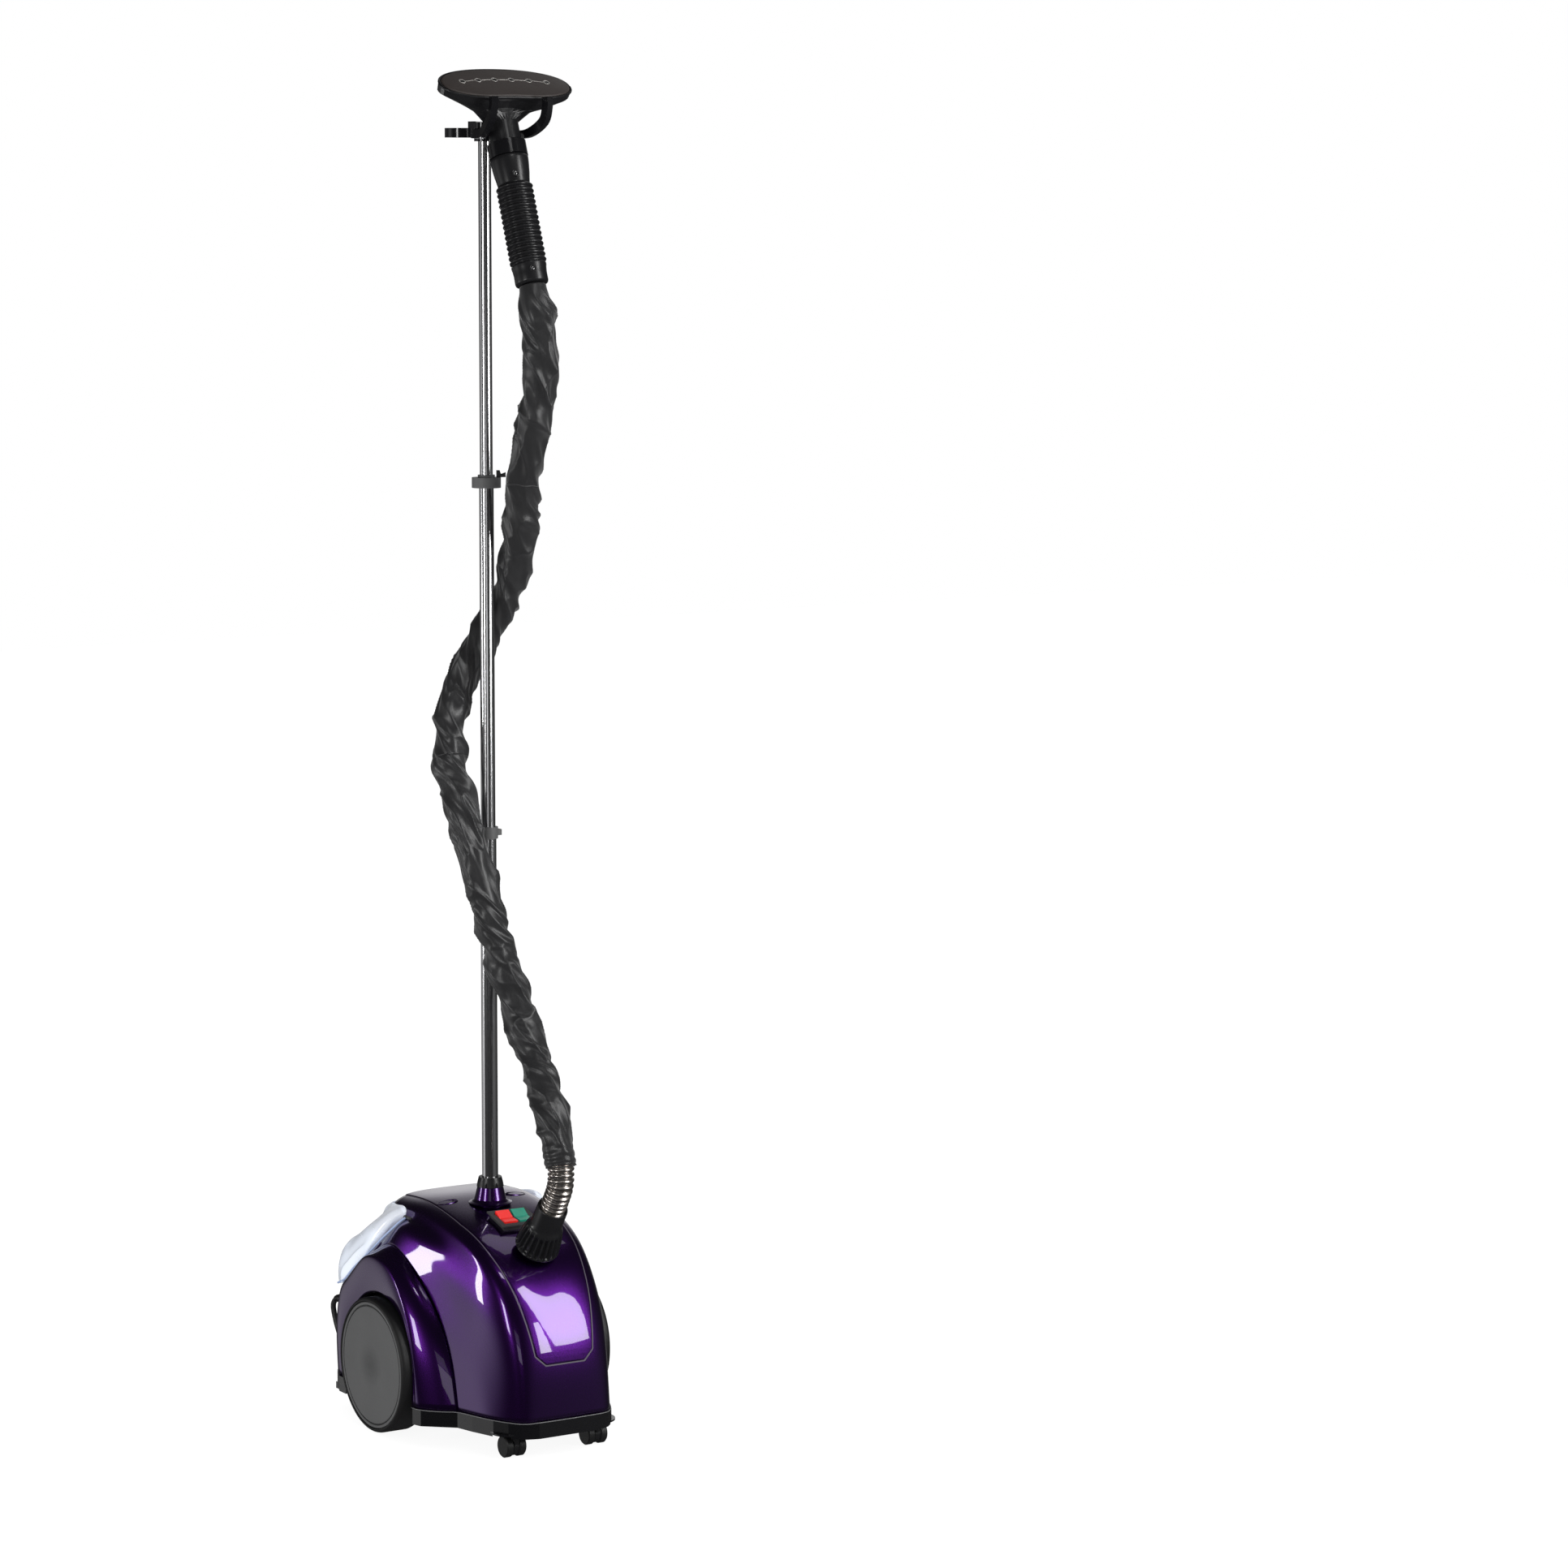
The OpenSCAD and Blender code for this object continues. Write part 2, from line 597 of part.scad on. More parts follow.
// bean outline: an ellipse whose lower edge is pushed in at the middle
function bean(w, d, n) = [for (i = [0:n-1]) let (a = 360*i/n, y = sin(a)*d/2, x = cos(a)*w/2)
    [x, y + (y < 0 ? 0.20*d*pow(cos(90*min(1, abs(x)/(w*0.36))), 2)*(-sin(a)) : 0)]];
function plate_point(p, h) = plate_c + [p[0], p[1]*cos(plate_tilt) - h*sin(plate_tilt),
    p[1]*sin(plate_tilt) + h*cos(plate_tilt)];
module head_solid(d) {
    n = 48;
    base = bean(plate_size[0]+8-2*d, plate_size[1]+8-2*d, n);
    rim = [for (p = base) plate_point(p, 0)];
    deep = [for (p = base) plate_point(p*0.985, -9)];
    belly = [for (p = base) plate_point([p[0]*0.72, p[1]*0.84], -19)];
    r = 18 - d;
    foot = [for (i = [0:n-1]) [r*cos(360*i/n), r*sin(360*i/n), -6]];
    toe = [for (i = [0:n-1]) [r*cos(360*i/n), r*sin(360*i/n), -30+0.01*d]];
    mid = [for (i = [0:n-1]) let (t = 0.5) belly[i]*(1-t)*0.8 + foot[i]*(t+0.1) + [0, 0, 3]];
    skin([toe, foot, mid, belly, deep, rim]);
}
module head() {
    color(black) at_hand() difference() {
        head_solid(0);
        difference() {
            head_solid(2.5);
            translate([-200, -200, -60]) cube([400, 400, 31]);
        }
        translate([0, 0, -40]) cylinder(r = 8, h = 30);
    }
}
module steam_plate() {
    color([0.33, 0.29, 0.28]) at_hand() translate(plate_c) rotate([plate_tilt, 0, 0]) difference() {
        translate([0, 0, 0.2]) linear_extrude(3) polygon(bean(plate_size[0], plate_size[1], 64));
        for (i = [0:holes-1]) let (x = (i-(holes-1)/2)*22)
            translate([x, 8 - 0.0016*x*x, -1]) cylinder(r = 2.2, h = 6, $fn = 32);
    }
}
module head_pipe() {
    color(steel) at_hand() difference() {
        translate([0, 0, -195]) cylinder(r = 8, h = 175);
        translate([0, 0, -196]) cylinder(r = 6.5, h = 180);
    }
}
function rib_line(n) = [for (i = [0:n-1]) each let (z = -176 + 96*i/n, p = 96/n)
    [[18.4, z], [21.4, z+p*0.2], [21.4, z+p*0.7], [18.4, z+p*0.9]]];
module screw_places(r) {
    for (z = [-72, -186]) rotate([0, 0, -18]) translate([0, -r, z]) rotate([90, 0, 0]) children();
}
module grip() {
    color(black) at_hand() difference() {
        union() {
            rotate_extrude() polygon(concat([[8.2, -176.4], [18, -176.4]], rib_line(ribs),
                [[18.6, -79], [20, -70], [22, -52], [22, -47.6], [8.2, -47.6]]));
            rotate_extrude() polygon([[15.6, -200], [18.4, -200], [19.2, -198], [19, -186],
                [20.2, -178], [20, -176.4], [8.2, -176.4], [8.2, -184], [15.6, -186]]);
        }
        screw_places(16) cylinder(r = 3, h = 10, $fn = 32);
    }
}
module grip_collar() {
    color(black) at_hand() difference() {
        translate([0, 0, -47.2]) cylinder(r = 22.5, h = 17, $fn = 16);
        translate([0, 0, -48]) cylinder(r = 8.2, h = 19);
        translate([0, 0, -30.4]) cylinder(r = 18.3, h = 19);
    }
}
module hand_screws() {
    color(steel) at_hand() screw_places(16.2) cylinder(r = 2.6, h = 1.6, $fn = 32);
}
module tray_screws() {
    color(steel) for (x = [-60, 60], y = [-120, 110]) translate([x, y, tray_z-0.6]) {
        cylinder(d = 7, h = 0.6);
        cylinder(d = 3.6, h = 14, $fn = 24);
    }
}

// ---- hose: once round the pole from the hand set down to the base ----
route = [[0, -111.2, 1351.3], [0, -117, 1333], [3, -120, 1304], [7, -118, 1271], [9, -104, 1220],
    [12, -84, 1177], [18, -60, 1129], [27, -34, 1072], [32, -4, 1013], [20, 27, 953],
    [-8, 40, 900], [-30, 34, 850], [-40, 20, 800], [-36, 4, 760], [-34, -8, 720], [-29, -22, 676],
    [-20, -33, 630], [-12, -39, 590], [-4, -48, 550], [3, -62, 510], [7, -82, 474], [8, -108, 440],
    [5, -136, 405], [2, -157, 370], [0, -168, 340]];
low_turn = 24;                     // rings where the hose passes from one length to the next
top_turn = 8;
path = spline(route, 2);
ring_frames = frames(path, 0, [1, 0, 0]);
module hose(a, b) {
    color(cloth) skin([for (i = [a:b]) [for (s = round_section(sleeve_d/2, 12))
        path[i] + ring_frames[i][0]*s[0] + ring_frames[i][1]*s[1]]]);
}
module hose_top() {
    hose(0, top_turn);
}
module hose_mid() {
    hose(top_turn, low_turn);
}
module hose_low() {
    hose(low_turn, len(path)-1);
}
module metal_hose() {
    top = route[len(route)-1];
    foot = spigot + 47*[0, -sin(spigot_tilt), cos(spigot_tilt)];
    mid = spigot + 80*[0, -sin(spigot_tilt), cos(spigot_tilt)];
    color(steel) sweep(spline([foot, mid, [0, -167, 318], top + [0, 0, -0.5]], 5),
        round_section(metal_d/2, 20));
}

// ---- mains lead ----
lead_d = 6.6;                      // mains lead
lead_out = [-98, 178, 118];        // where the mains lead leaves the back
coil_c = [-6, 246, 0];             // middle of the wound lead on the floor
coil_in = 26;                      // hole in the middle of the coil
coil_out = 52;
module cord_gland() {
    color(black) translate(lead_out - [0, 12, 0]) rotate([-90, 0, 0]) difference() {
        union() {
            cylinder(r = 5, h = 11);
            translate([0, 0, 6.4]) cylinder(r = 6.8, h = 2);
        }
        translate([0, 0, -1]) cylinder(r = lead_d/2, h = 14);
    }
}
module cord_lead() {
    color(black) sweep(spline([lead_out - [0, 8, 0], lead_out + [0, 4, 1], lead_out + [0, 24, 6],
        lead_out + [-1, 38, -4], lead_out + [0, 34, -24], lead_out + [2, 24, -46],
        lead_out + [6, 16, -72], [-84, 200, 22], [-70, 216, 9], coil_c + [-coil_out-0.4, -10, 8]], 3),
        round_section(lead_d/2, 10));
}
module cord_coil() {
    color(black) translate(coil_c) rotate_extrude() translate([(coil_in+coil_out)/2, 10.3])
        polygon([for (a = [0:30:330]) [cos(a)*(coil_out-coil_in)/2, sin(a)*10]]);
}
module cord_plug() {
    color(black) translate([86, 238, 0]) {
        translate([0, 0, 11]) rotate([0, 90, 200]) cylinder(r1 = 10, r2 = 7, h = 24, center = true);
        translate([0, 0, 11]) rotate([0, 0, 200]) translate([-22, 0, 0]) {
            cube([20, 26, 20], center = true);
            for (y = [-9.5, 9.5]) translate([-19, y, 0]) rotate([0, -90, 0]) cylinder(r = 2.4, h = 19, center = true);
        }
    }
}

chassis();
front_shell();
side_shell(-1);  // side_shell_left
side_shell(1);  // side_shell_right
centre_panel();
arch_liners();
tank_bay();
switch_bezel();
rocker(-1, [0.86, 0.16, 0.14]);  // rocker_red
rocker(1, [0.10, 0.50, 0.36]);  // rocker_green
switch_bodies();
boiler();
element();
thermostat();
thermal_fuse();
steam_pipe();
feed_tube();
harness();
steam_spigot();
hose_nut();
rear_axle();
axle_clips();
wheel_hub(-1);  // wheel_hub_left
wheel_tyre(-1);  // wheel_tyre_left
wheel_disc(-1);  // wheel_disc_left
wheel_hub(1);  // wheel_hub_right
wheel_tyre(1);  // wheel_tyre_right
wheel_disc(1);  // wheel_disc_right
castor(-1);  // castor_left
castor_wheels(-1);  // castor_wheels_left
castor(1);  // castor_right
castor_wheels(1);  // castor_wheels_right
water_tank();
tank_cap();
tank_valve();
pole_socket();
pole_nut();
tube_lower();
tube_middle();
tube_top();
clip_lower();
clamp_upper();
clamp_lever();
fork();
hanger_ring();
head();
steam_plate();
head_pipe();
grip();
grip_collar();
hand_screws();
tray_screws();
metal_hose();
hose_low();
hose_mid();
hose_top();
cord_gland();
cord_lead();
cord_coil();
cord_plug();
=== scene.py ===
"""Upright garment steamer: the looks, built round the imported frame.

Lengths in this script are millimetres and are scaled to metres when a mesh is made.
Front of the machine is -Y, up is +Z, and the pole stands on the origin.
"""

import math

import bpy
import numpy as np
from mathutils import Matrix, Vector, noise


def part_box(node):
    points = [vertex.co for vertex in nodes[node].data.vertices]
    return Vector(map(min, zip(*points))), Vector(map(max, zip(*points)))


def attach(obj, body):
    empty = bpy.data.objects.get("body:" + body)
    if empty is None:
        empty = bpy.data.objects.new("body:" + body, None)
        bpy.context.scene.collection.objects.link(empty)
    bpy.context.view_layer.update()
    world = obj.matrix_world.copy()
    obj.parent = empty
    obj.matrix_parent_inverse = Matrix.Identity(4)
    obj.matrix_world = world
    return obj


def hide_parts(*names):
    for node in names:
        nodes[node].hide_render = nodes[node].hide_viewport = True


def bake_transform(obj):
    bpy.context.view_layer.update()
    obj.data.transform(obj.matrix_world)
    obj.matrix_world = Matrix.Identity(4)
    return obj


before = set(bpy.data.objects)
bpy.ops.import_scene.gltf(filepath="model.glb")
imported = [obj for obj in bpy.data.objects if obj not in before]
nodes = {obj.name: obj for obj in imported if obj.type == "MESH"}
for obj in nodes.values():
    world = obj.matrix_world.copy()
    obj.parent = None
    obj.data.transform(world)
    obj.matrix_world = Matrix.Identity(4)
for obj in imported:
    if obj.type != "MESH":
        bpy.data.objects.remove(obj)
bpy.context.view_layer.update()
MM = 0.001


# ---------------------------------------------------------------- places
def mm(v):
    """A point in metres as millimetres."""
    return np.array(v, float) / MM


def turned(origin, tilt):
    """Local frame of a fitting that stands at origin and is tilted about X, in millimetres."""
    return Matrix.Translation(Vector(origin)) @ Matrix.Rotation(math.radians(tilt), 4, "X")


wheel_low, wheel_high = (mm(p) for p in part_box("wheel_tyre_left"))
WHEEL_R = (wheel_high[2] - wheel_low[2]) / 2
AXLE_Y = (wheel_high[1] + wheel_low[1]) / 2
AXLE_Z = WHEEL_R
WHEEL_OUT = -mm(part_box("wheel_disc_left")[0])[0]
SPIGOT_AT, SPIGOT_LEAN = (0, -109, 232), 35.5
SPIGOT = turned(SPIGOT_AT, SPIGOT_LEAN)
BEZEL = turned((0, -56, 256.5), 16.5)
HAND = turned((0, -41, 1541), -20.3)
PLATE = HAND @ turned((0, -21.7, 32.5), 51.4)
BEZEL_HALF = (22.0, 16.5)
POLE_HOLE_R = 14.0


# ---------------------------------------------------------------- curves
def bspline(points, per, closed=False):
    """Smooth curve that follows its points; it starts and ends on the first and last."""
    p = np.asarray(points, float)
    if closed:
        p = np.concatenate([p[-1:], p, p[:2]])
    else:
        p = np.concatenate([2 * p[:1] - p[1:2], p, 2 * p[-1:] - p[-2:-1]])
    t = np.arange(per) / per
    w = np.stack([(1 - t) ** 3, 3 * t**3 - 6 * t**2 + 4, 3 * t + 3 * t**2 - 3 * t**3 + 1, t**3]) / 6
    spans = [np.tensordot(w.T, p[i : i + 4], 1) for i in range(len(p) - 3)]
    out = np.concatenate(spans)
    if closed:
        return out
    return np.concatenate([out, (p[-3:-2] + 4 * p[-2:-1] + p[-1:]) / 6])


def through(points, per):
    """Catmull-Rom curve through every point."""
    p = np.asarray(points, float)
    q = np.concatenate([p[:1], p, p[-1:]])
    t = (np.arange(per) / per)[:, None]
    out = []
    for i in range(len(p) - 1):
        a, b, c, d = q[i : i + 4]
        out.append(
            0.5 * (2 * b + (c - a) * t + (2 * a - 5 * b + 4 * c - d) * t**2 + (3 * b - a - 3 * c + d) * t**3)
        )
    return np.concatenate([*out, p[-1:]])


def evenly(path, step):
    """The same path with points about one step apart."""
    gaps = np.linalg.norm(np.diff(path, axis=0), axis=1)
    along = np.concatenate([[0], np.cumsum(gaps)])
    at = np.linspace(0, along[-1], max(2, int(round(along[-1] / step)) + 1))
    return np.stack([np.interp(at, along, path[:, k]) for k in range(3)], 1), at


def side_frames(path, first=(1, 0, 0)):
    """Two directions across the path at each point, carried along it without twisting."""
    tangents = np.gradient(path, axis=0)
    tangents /= np.linalg.norm(tangents, axis=1)[:, None]
    u = np.array(first, float)
    us = []
    for t in tangents:
        u = u - (u @ t) * t
        u /= np.linalg.norm(u)
        us.append(u)
    us = np.array(us)
    return us, np.cross(tangents, us)


# ---------------------------------------------------------------- meshes
def piece(name, body, verts, faces, material, slot=None, replaces=(), place=None, smooth=True):
    """A mesh object, given in millimetres, that rides on a CAD body."""
    mesh = bpy.data.meshes.new(name)
    v = np.asarray(verts, float).reshape(-1, 3)
    if place is not None:
        m = np.array(place)
        v = v @ m[:3, :3].T + m[:3, 3]
    mesh.from_pydata((v * MM).tolist(), [], [list(map(int, f)) for f in faces])
    mesh.validate()
    mesh.polygons.foreach_set("use_smooth", [smooth] * len(mesh.polygons))
    obj = bpy.data.objects.new(name, mesh)
    bpy.context.scene.collection.objects.link(obj)
    mesh.materials.append(material)
    if body:
        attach(obj, body)
    if replaces:
        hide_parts(*replaces)
    return obj


def grid_faces(rows, cols, wrap=False, start=0):
    """Quads of a grid of rows by cols points; wrap joins the last column to the first."""
    last = cols if wrap else cols - 1
    return [
        (start + r * cols + c, start + r * cols + (c + 1) % cols,
         start + (r + 1) * cols + (c + 1) % cols, start + (r + 1) * cols + c)
        for r in range(rows - 1)
        for c in range(last)
    ]


def sheet_of(points):
    """Vertices and faces of an open grid given as an array of rows by columns by 3."""
    rows, cols = points.shape[:2]
    return points.reshape(-1, 3), grid_faces(rows, cols)


def closed_tube(rings):
    """Vertices and faces of rings of points, closed at both ends on a middle point."""
    rows, cols = rings.shape[:2]
    verts = np.concatenate([rings.reshape(-1, 3), rings[0].mean(0)[None], rings[-1].mean(0)[None]])
    faces = grid_faces(rows, cols, wrap=True)
    a, b = rows * cols, rows * cols + 1
    faces += [(a, (c + 1) % cols, c) for c in range(cols)]
    top = (rows - 1) * cols
    faces += [(b, top + c, top + (c + 1) % cols) for c in range(cols)]
    return verts, faces


def lathe_rings(profile, turns=96, wave=None):
    """Rings of a round part from (radius, height) pairs; wave(radius, height, angles) may shape them."""
    a = np.linspace(0, 2 * np.pi, turns, endpoint=False)
    rings = []
    for r, h in profile:
        rr = wave(r, h, a) if wave else np.full(turns, r)
        rings.append(np.stack([rr * np.cos(a), rr * np.sin(a), np.full(turns, h)], 1))
    return np.array(rings)


def rounded(profile, radius=0.8, steps=3):
    """Round off the corners of an open (radius, height) line."""
    p = [np.array(q, float) for q in profile]
    out = [p[0]]
    for a, b, c in zip(p, p[1:], p[2:]):
        cut = min(radius, np.linalg.norm(a - b) * 0.45, np.linalg.norm(c - b) * 0.45)
        s = b + (a - b) / max(np.linalg.norm(a - b), 1e-6) * cut
        e = b + (c - b) / max(np.linalg.norm(c - b), 1e-6) * cut
        for t in np.linspace(0, 1, steps + 1):
            out.append((1 - t) ** 2 * s + 2 * t * (1 - t) * b + t * t * e)
    out.append(p[-1])
    return out


def lathe(name, body, profile, material, place, slot=None, replaces=(), turns=96, wave=None, soft=0.8):
    """A round part turned from a (radius, height) line round its local Z."""
    line = rounded(profile, soft) if soft else profile
    verts, faces = closed_tube(lathe_rings(line, turns, wave))
    return piece(name, body, verts, faces, material, slot, replaces, place)


def sweep_rings(path, radius, turns=24, across=(1, 0, 0)):
    """Round rings along a path; radius is one number, one per point, or one per point and turn."""
    u, v = side_frames(path, across)
    a = np.linspace(0, 2 * np.pi, turns, endpoint=False)
    ring = np.cos(a)[None, :, None] * u[:, None] + np.sin(a)[None, :, None] * v[:, None]
    r = np.asarray(radius, float)
    r = np.broadcast_to(r if r.ndim == 2 else r.reshape(-1, 1), (len(path), turns))
    return path[:, None] + r[:, :, None] * ring


def soften_edges(obj, width, segments=2, angle=32):
    """Rounded edges on a piece or a carried-over node."""
    m = obj.modifiers.new("edges", "BEVEL")
    m.width = width * MM
    m.segments = segments
    m.limit_method = "ANGLE"
    m.angle_limit = math.radians(angle)
    m.harden_normals = False


def thicken(obj, thickness):
    """Give a sheet a wall on its inner side."""
    m = obj.modifiers.new("wall", "SOLIDIFY")
    m.thickness = thickness * MM
    m.offset = -1.0


# ---------------------------------------------------------------- shader groups
def shader_group(name, inputs, outputs, build):
    """An effect shared by several finishes. build(add, link, source, sink) wires its inside."""
    tree = bpy.data.node_groups.new(name, "ShaderNodeTree")
    for label, kind, value in inputs:
        socket = tree.interface.new_socket(label, in_out="INPUT", socket_type=kind)
        socket.default_value = value
    for label, kind in outputs:
        tree.interface.new_socket(label, in_out="OUTPUT", socket_type=kind)
    source, sink = tree.nodes.new("NodeGroupInput"), tree.nodes.new("NodeGroupOutput")
    build(tree.nodes.new, tree.links.new, source.outputs, sink.inputs)
    return tree


def maths(add, link, kind, a, b=None):
    """One math node; a and b are sockets or numbers."""
    node = add("ShaderNodeMath")
    node.operation = kind
    for i, v in enumerate((a, b)):
        if v is None:
            continue
        if isinstance(v, (int, float)):
            node.inputs[i].default_value = v
        else:
            link(v, node.inputs[i])
    return node.outputs[0]


def spread(add, link, value, low, high):
    """Map 0..1 to low..high, which may be sockets."""
    node = add("ShaderNodeMapRange")
    link(value, node.inputs["Value"])
    for name, v in (("To Min", low), ("To Max", high)):
        if isinstance(v, (int, float)):
            node.inputs[name].default_value = v
        else:
            link(v, node.inputs[name])
    return node.outputs[0]


def build_grain(add, link, src, out):
    """Fine moulded grain: an uneven gloss and a shallow relief."""
    where = add("ShaderNodeTexCoord")
    fine, broad = add("ShaderNodeTexNoise"), add("ShaderNodeTexNoise")
    for n, detail in ((fine, 3.0), (broad, 5.0)):
        link(where.outputs["Object"], n.inputs["Vector"])
        n.inputs["Detail"].default_value = detail
    link(src["Grain size"], fine.inputs["Scale"])
    broad.inputs["Scale"].default_value = 14.0
    link(fine.outputs[0], out["Height"])
    mixed = maths(add, link, "MULTIPLY", fine.outputs[0], broad.outputs[0])
    link(spread(add, link, maths(add, link, "MULTIPLY", mixed, 3.0), src["Smoothest"], src["Roughest"]),
         out["Roughness"])


def build_tint(add, link, src, out):
    """A colour that drifts a little over the surface, as moulded or coated parts do."""
    where, cloud = add("ShaderNodeTexCoord"), add("ShaderNodeTexNoise")
    link(where.outputs["Object"], cloud.inputs["Vector"])
    link(src["Patch size"], cloud.inputs["Scale"])
    cloud.inputs["Detail"].default_value = 4.0
    mix = add("ShaderNodeMix")
    mix.data_type = "RGBA"
    link(spread(add, link, cloud.outputs[0], 0.0, 1.0), mix.inputs["Factor"])
    link(src["Darker"], mix.inputs["A"])
    link(src["Lighter"], mix.inputs["B"])
    link(mix.outputs["Result"], out["Color"])


def build_scuffs(add, link, src, out):
    """Hairline scuffs from handling, as a mask."""
    where, stretch, lines = add("ShaderNodeTexCoord"), add("ShaderNodeMapping"), add("ShaderNodeTexNoise")
    stretch.inputs["Scale"].default_value = (1.0, 1.0, 14.0)
    stretch.inputs["Rotation"].default_value = (0.5, 0.3, 0.8)
    link(where.outputs["Object"], stretch.inputs["Vector"])
    link(stretch.outputs[0], lines.inputs["Vector"])
    link(src["Density"], lines.inputs["Scale"])
    lines.inputs["Detail"].default_value = 6.0
    ramp = add("ShaderNodeValToRGB")
    ramp.color_ramp.elements[0].position = 0.60
    ramp.color_ramp.elements[1].position = 0.68
    link(lines.outputs[0], ramp.inputs[0])
    link(maths(add, link, "MULTIPLY", ramp.outputs[0], src["Strength"]), out["Mask"])


def build_weave(add, link, src, out):
    """Plain woven cloth from a U (round) and V (along) map, as a relief and a mask."""
    where, split = add("ShaderNodeUVMap"), add("ShaderNodeSeparateXYZ")
    link(where.outputs[0], split.inputs[0])
    warp = maths(add, link, "SINE", maths(add, link, "MULTIPLY", split.outputs[0], src["Warp"]))
    weft = maths(add, link, "SINE", maths(add, link, "MULTIPLY", split.outputs[1], src["Weft"]))
    over = maths(add, link, "MULTIPLY", warp, weft)
    height = spread(add, link, maths(add, link, "ADD", maths(add, link, "MULTIPLY", over, 0.5), 0.5), 0.0, 1.0)
    link(height, out["Height"])
    link(maths(add, link, "ABSOLUTE", over), out["Threads"])


FLOAT, COLOUR = "NodeSocketFloat", "NodeSocketColor"
GRAIN = shader_group(
    "Moulded grain",
    [("Grain size", FLOAT, 400.0), ("Smoothest", FLOAT, 0.2), ("Roughest", FLOAT, 0.3)],
    [("Roughness", FLOAT), ("Height", FLOAT)],
    build_grain,
)
TINT = shader_group(
    "Drifting tint",
    [("Darker", COLOUR, (0, 0, 0, 1)), ("Lighter", COLOUR, (1, 1, 1, 1)), ("Patch size", FLOAT, 20.0)],
    [("Color", COLOUR)],
    build_tint,
)
SCUFFS = shader_group(
    "Handling scuffs", [("Density", FLOAT, 30.0), ("Strength", FLOAT, 1.0)], [("Mask", FLOAT)], build_scuffs
)
WEAVE = shader_group(
    "Woven cloth",
    [("Warp", FLOAT, 1200.0), ("Weft", FLOAT, 6000.0)],
    [("Height", FLOAT), ("Threads", FLOAT)],
    build_weave,
)


class Finish:
    """A material under construction: a Principled shader with groups placed in front of it."""

    def __init__(self, name, **fixed):
        self.material = bpy.data.materials.new(name)
        self.material.use_nodes = True
        self.tree = self.material.node_tree
        self.add, self.link = self.tree.nodes.new, self.tree.links.new
        self.shader = self.tree.nodes["Principled BSDF"]
        for label, value in fixed.items():
            self.shader.inputs[label.replace("_", " ")].default_value = value

    def group(self, tree, **values):
        node = self.add("ShaderNodeGroup")
        node.node_tree = tree
        for label, value in values.items():
            node.inputs[label.replace("_", " ")].default_value = value
        return node

    def tint(self, darker, lighter, patch=20.0):
        node = self.group(TINT, Darker=(*darker, 1), Lighter=(*lighter, 1), Patch_size=patch)
        self.link(node.outputs["Color"], self.shader.inputs["Base Color"])

    def grain(self, size, smooth, rough, relief, scuff=0.0, density=30.0):
        node = self.group(GRAIN, Grain_size=size, Smoothest=smooth, Roughest=rough)
        gloss = node.outputs["Roughness"]
        if scuff:
            mask = self.group(SCUFFS, Density=density, Strength=scuff).outputs["Mask"]
            gloss = maths(self.add, self.link, "ADD", gloss, mask)
        self.link(gloss, self.shader.inputs["Roughness"])
        if relief:
            self.bump(node.outputs["Height"], relief)

    def bump(self, height, relief):
        node = self.add("ShaderNodeBump")
        node.inputs["Distance"].default_value = relief * MM
        node.inputs["Strength"].default_value = 0.6
        self.link(height, node.inputs["Height"])
        self.link(node.outputs[0], self.shader.inputs["Normal"])


def plastic(name, darker, lighter, size, smooth, rough, relief, scuff=0.06, **fixed):
    f = Finish(name, **fixed)
    f.tint(darker, lighter)
    f.grain(size, smooth, rough, relief, scuff)
    return f.material


def metal(name, darker, lighter, smooth, rough, scuff, **fixed):
    f = Finish(name, Metallic=1.0, **fixed)
    f.tint(darker, lighter, 60.0)
    f.grain(900.0, smooth, rough, 0.0, scuff, 60.0)
    return f.material


def pearl_purple():
    """Deep metallic purple under a clear lacquer."""
    f = Finish("pearl_purple", Metallic=0.96, Coat_Weight=1.0, Coat_Roughness=0.03, Coat_IOR=1.55)
    f.tint((0.044, 0.0045, 0.105), (0.052, 0.0060, 0.128), 9.0)
    f.grain(1800.0, 0.25, 0.28, 0.0)
    return f.material


def sleeve_cloth():
    """Charcoal nylon: a fine weave with a soft sheen."""
    f = Finish("sleeve_cloth", Sheen_Weight=0.35, Sheen_Roughness=0.35, Specular_IOR_Level=0.55)
    f.tint((0.013, 0.013, 0.014), (0.024, 0.024, 0.025), 26.0)
    weave = f.group(WEAVE, Warp=1200.0, Weft=6900.0)
    f.link(spread(f.add, f.link, weave.outputs["Threads"], 0.28, 0.40), f.shader.inputs["Roughness"])
    f.bump(weave.outputs["Height"], 0.03)
    return f.material


def clear_plastic():
    """Slightly frosted blue-white plastic of the water tank, with a faint white emission that paints a glow on it."""
    # The emission is a painted glow: it brightens the tank whatever light falls on it.
    f = Finish("clear_plastic", IOR=1.46, Transmission_Weight=0.25, Coat_Weight=0.6, Coat_Roughness=0.08,
               Emission_Color=(0.82, 0.87, 1.0, 1), Emission_Strength=0.20)
    f.tint((0.80, 0.85, 0.92), (0.90, 0.93, 0.97), 30.0)
    f.grain(260.0, 0.16, 0.26, 0.02, 0.03)
    return f.material


def lit_plastic(name, darker, lighter):
    """Translucent coloured plastic of a switch."""
    f = Finish(name, Coat_Weight=0.25, Coat_Roughness=0.08, Subsurface_Weight=0.25, Subsurface_Scale=0.003,
               Emission_Color=(*lighter, 1), Emission_Strength=0.12)
    f.tint(darker, lighter, 90.0)
    f.grain(700.0, 0.16, 0.24, 0.006)
    return f.material


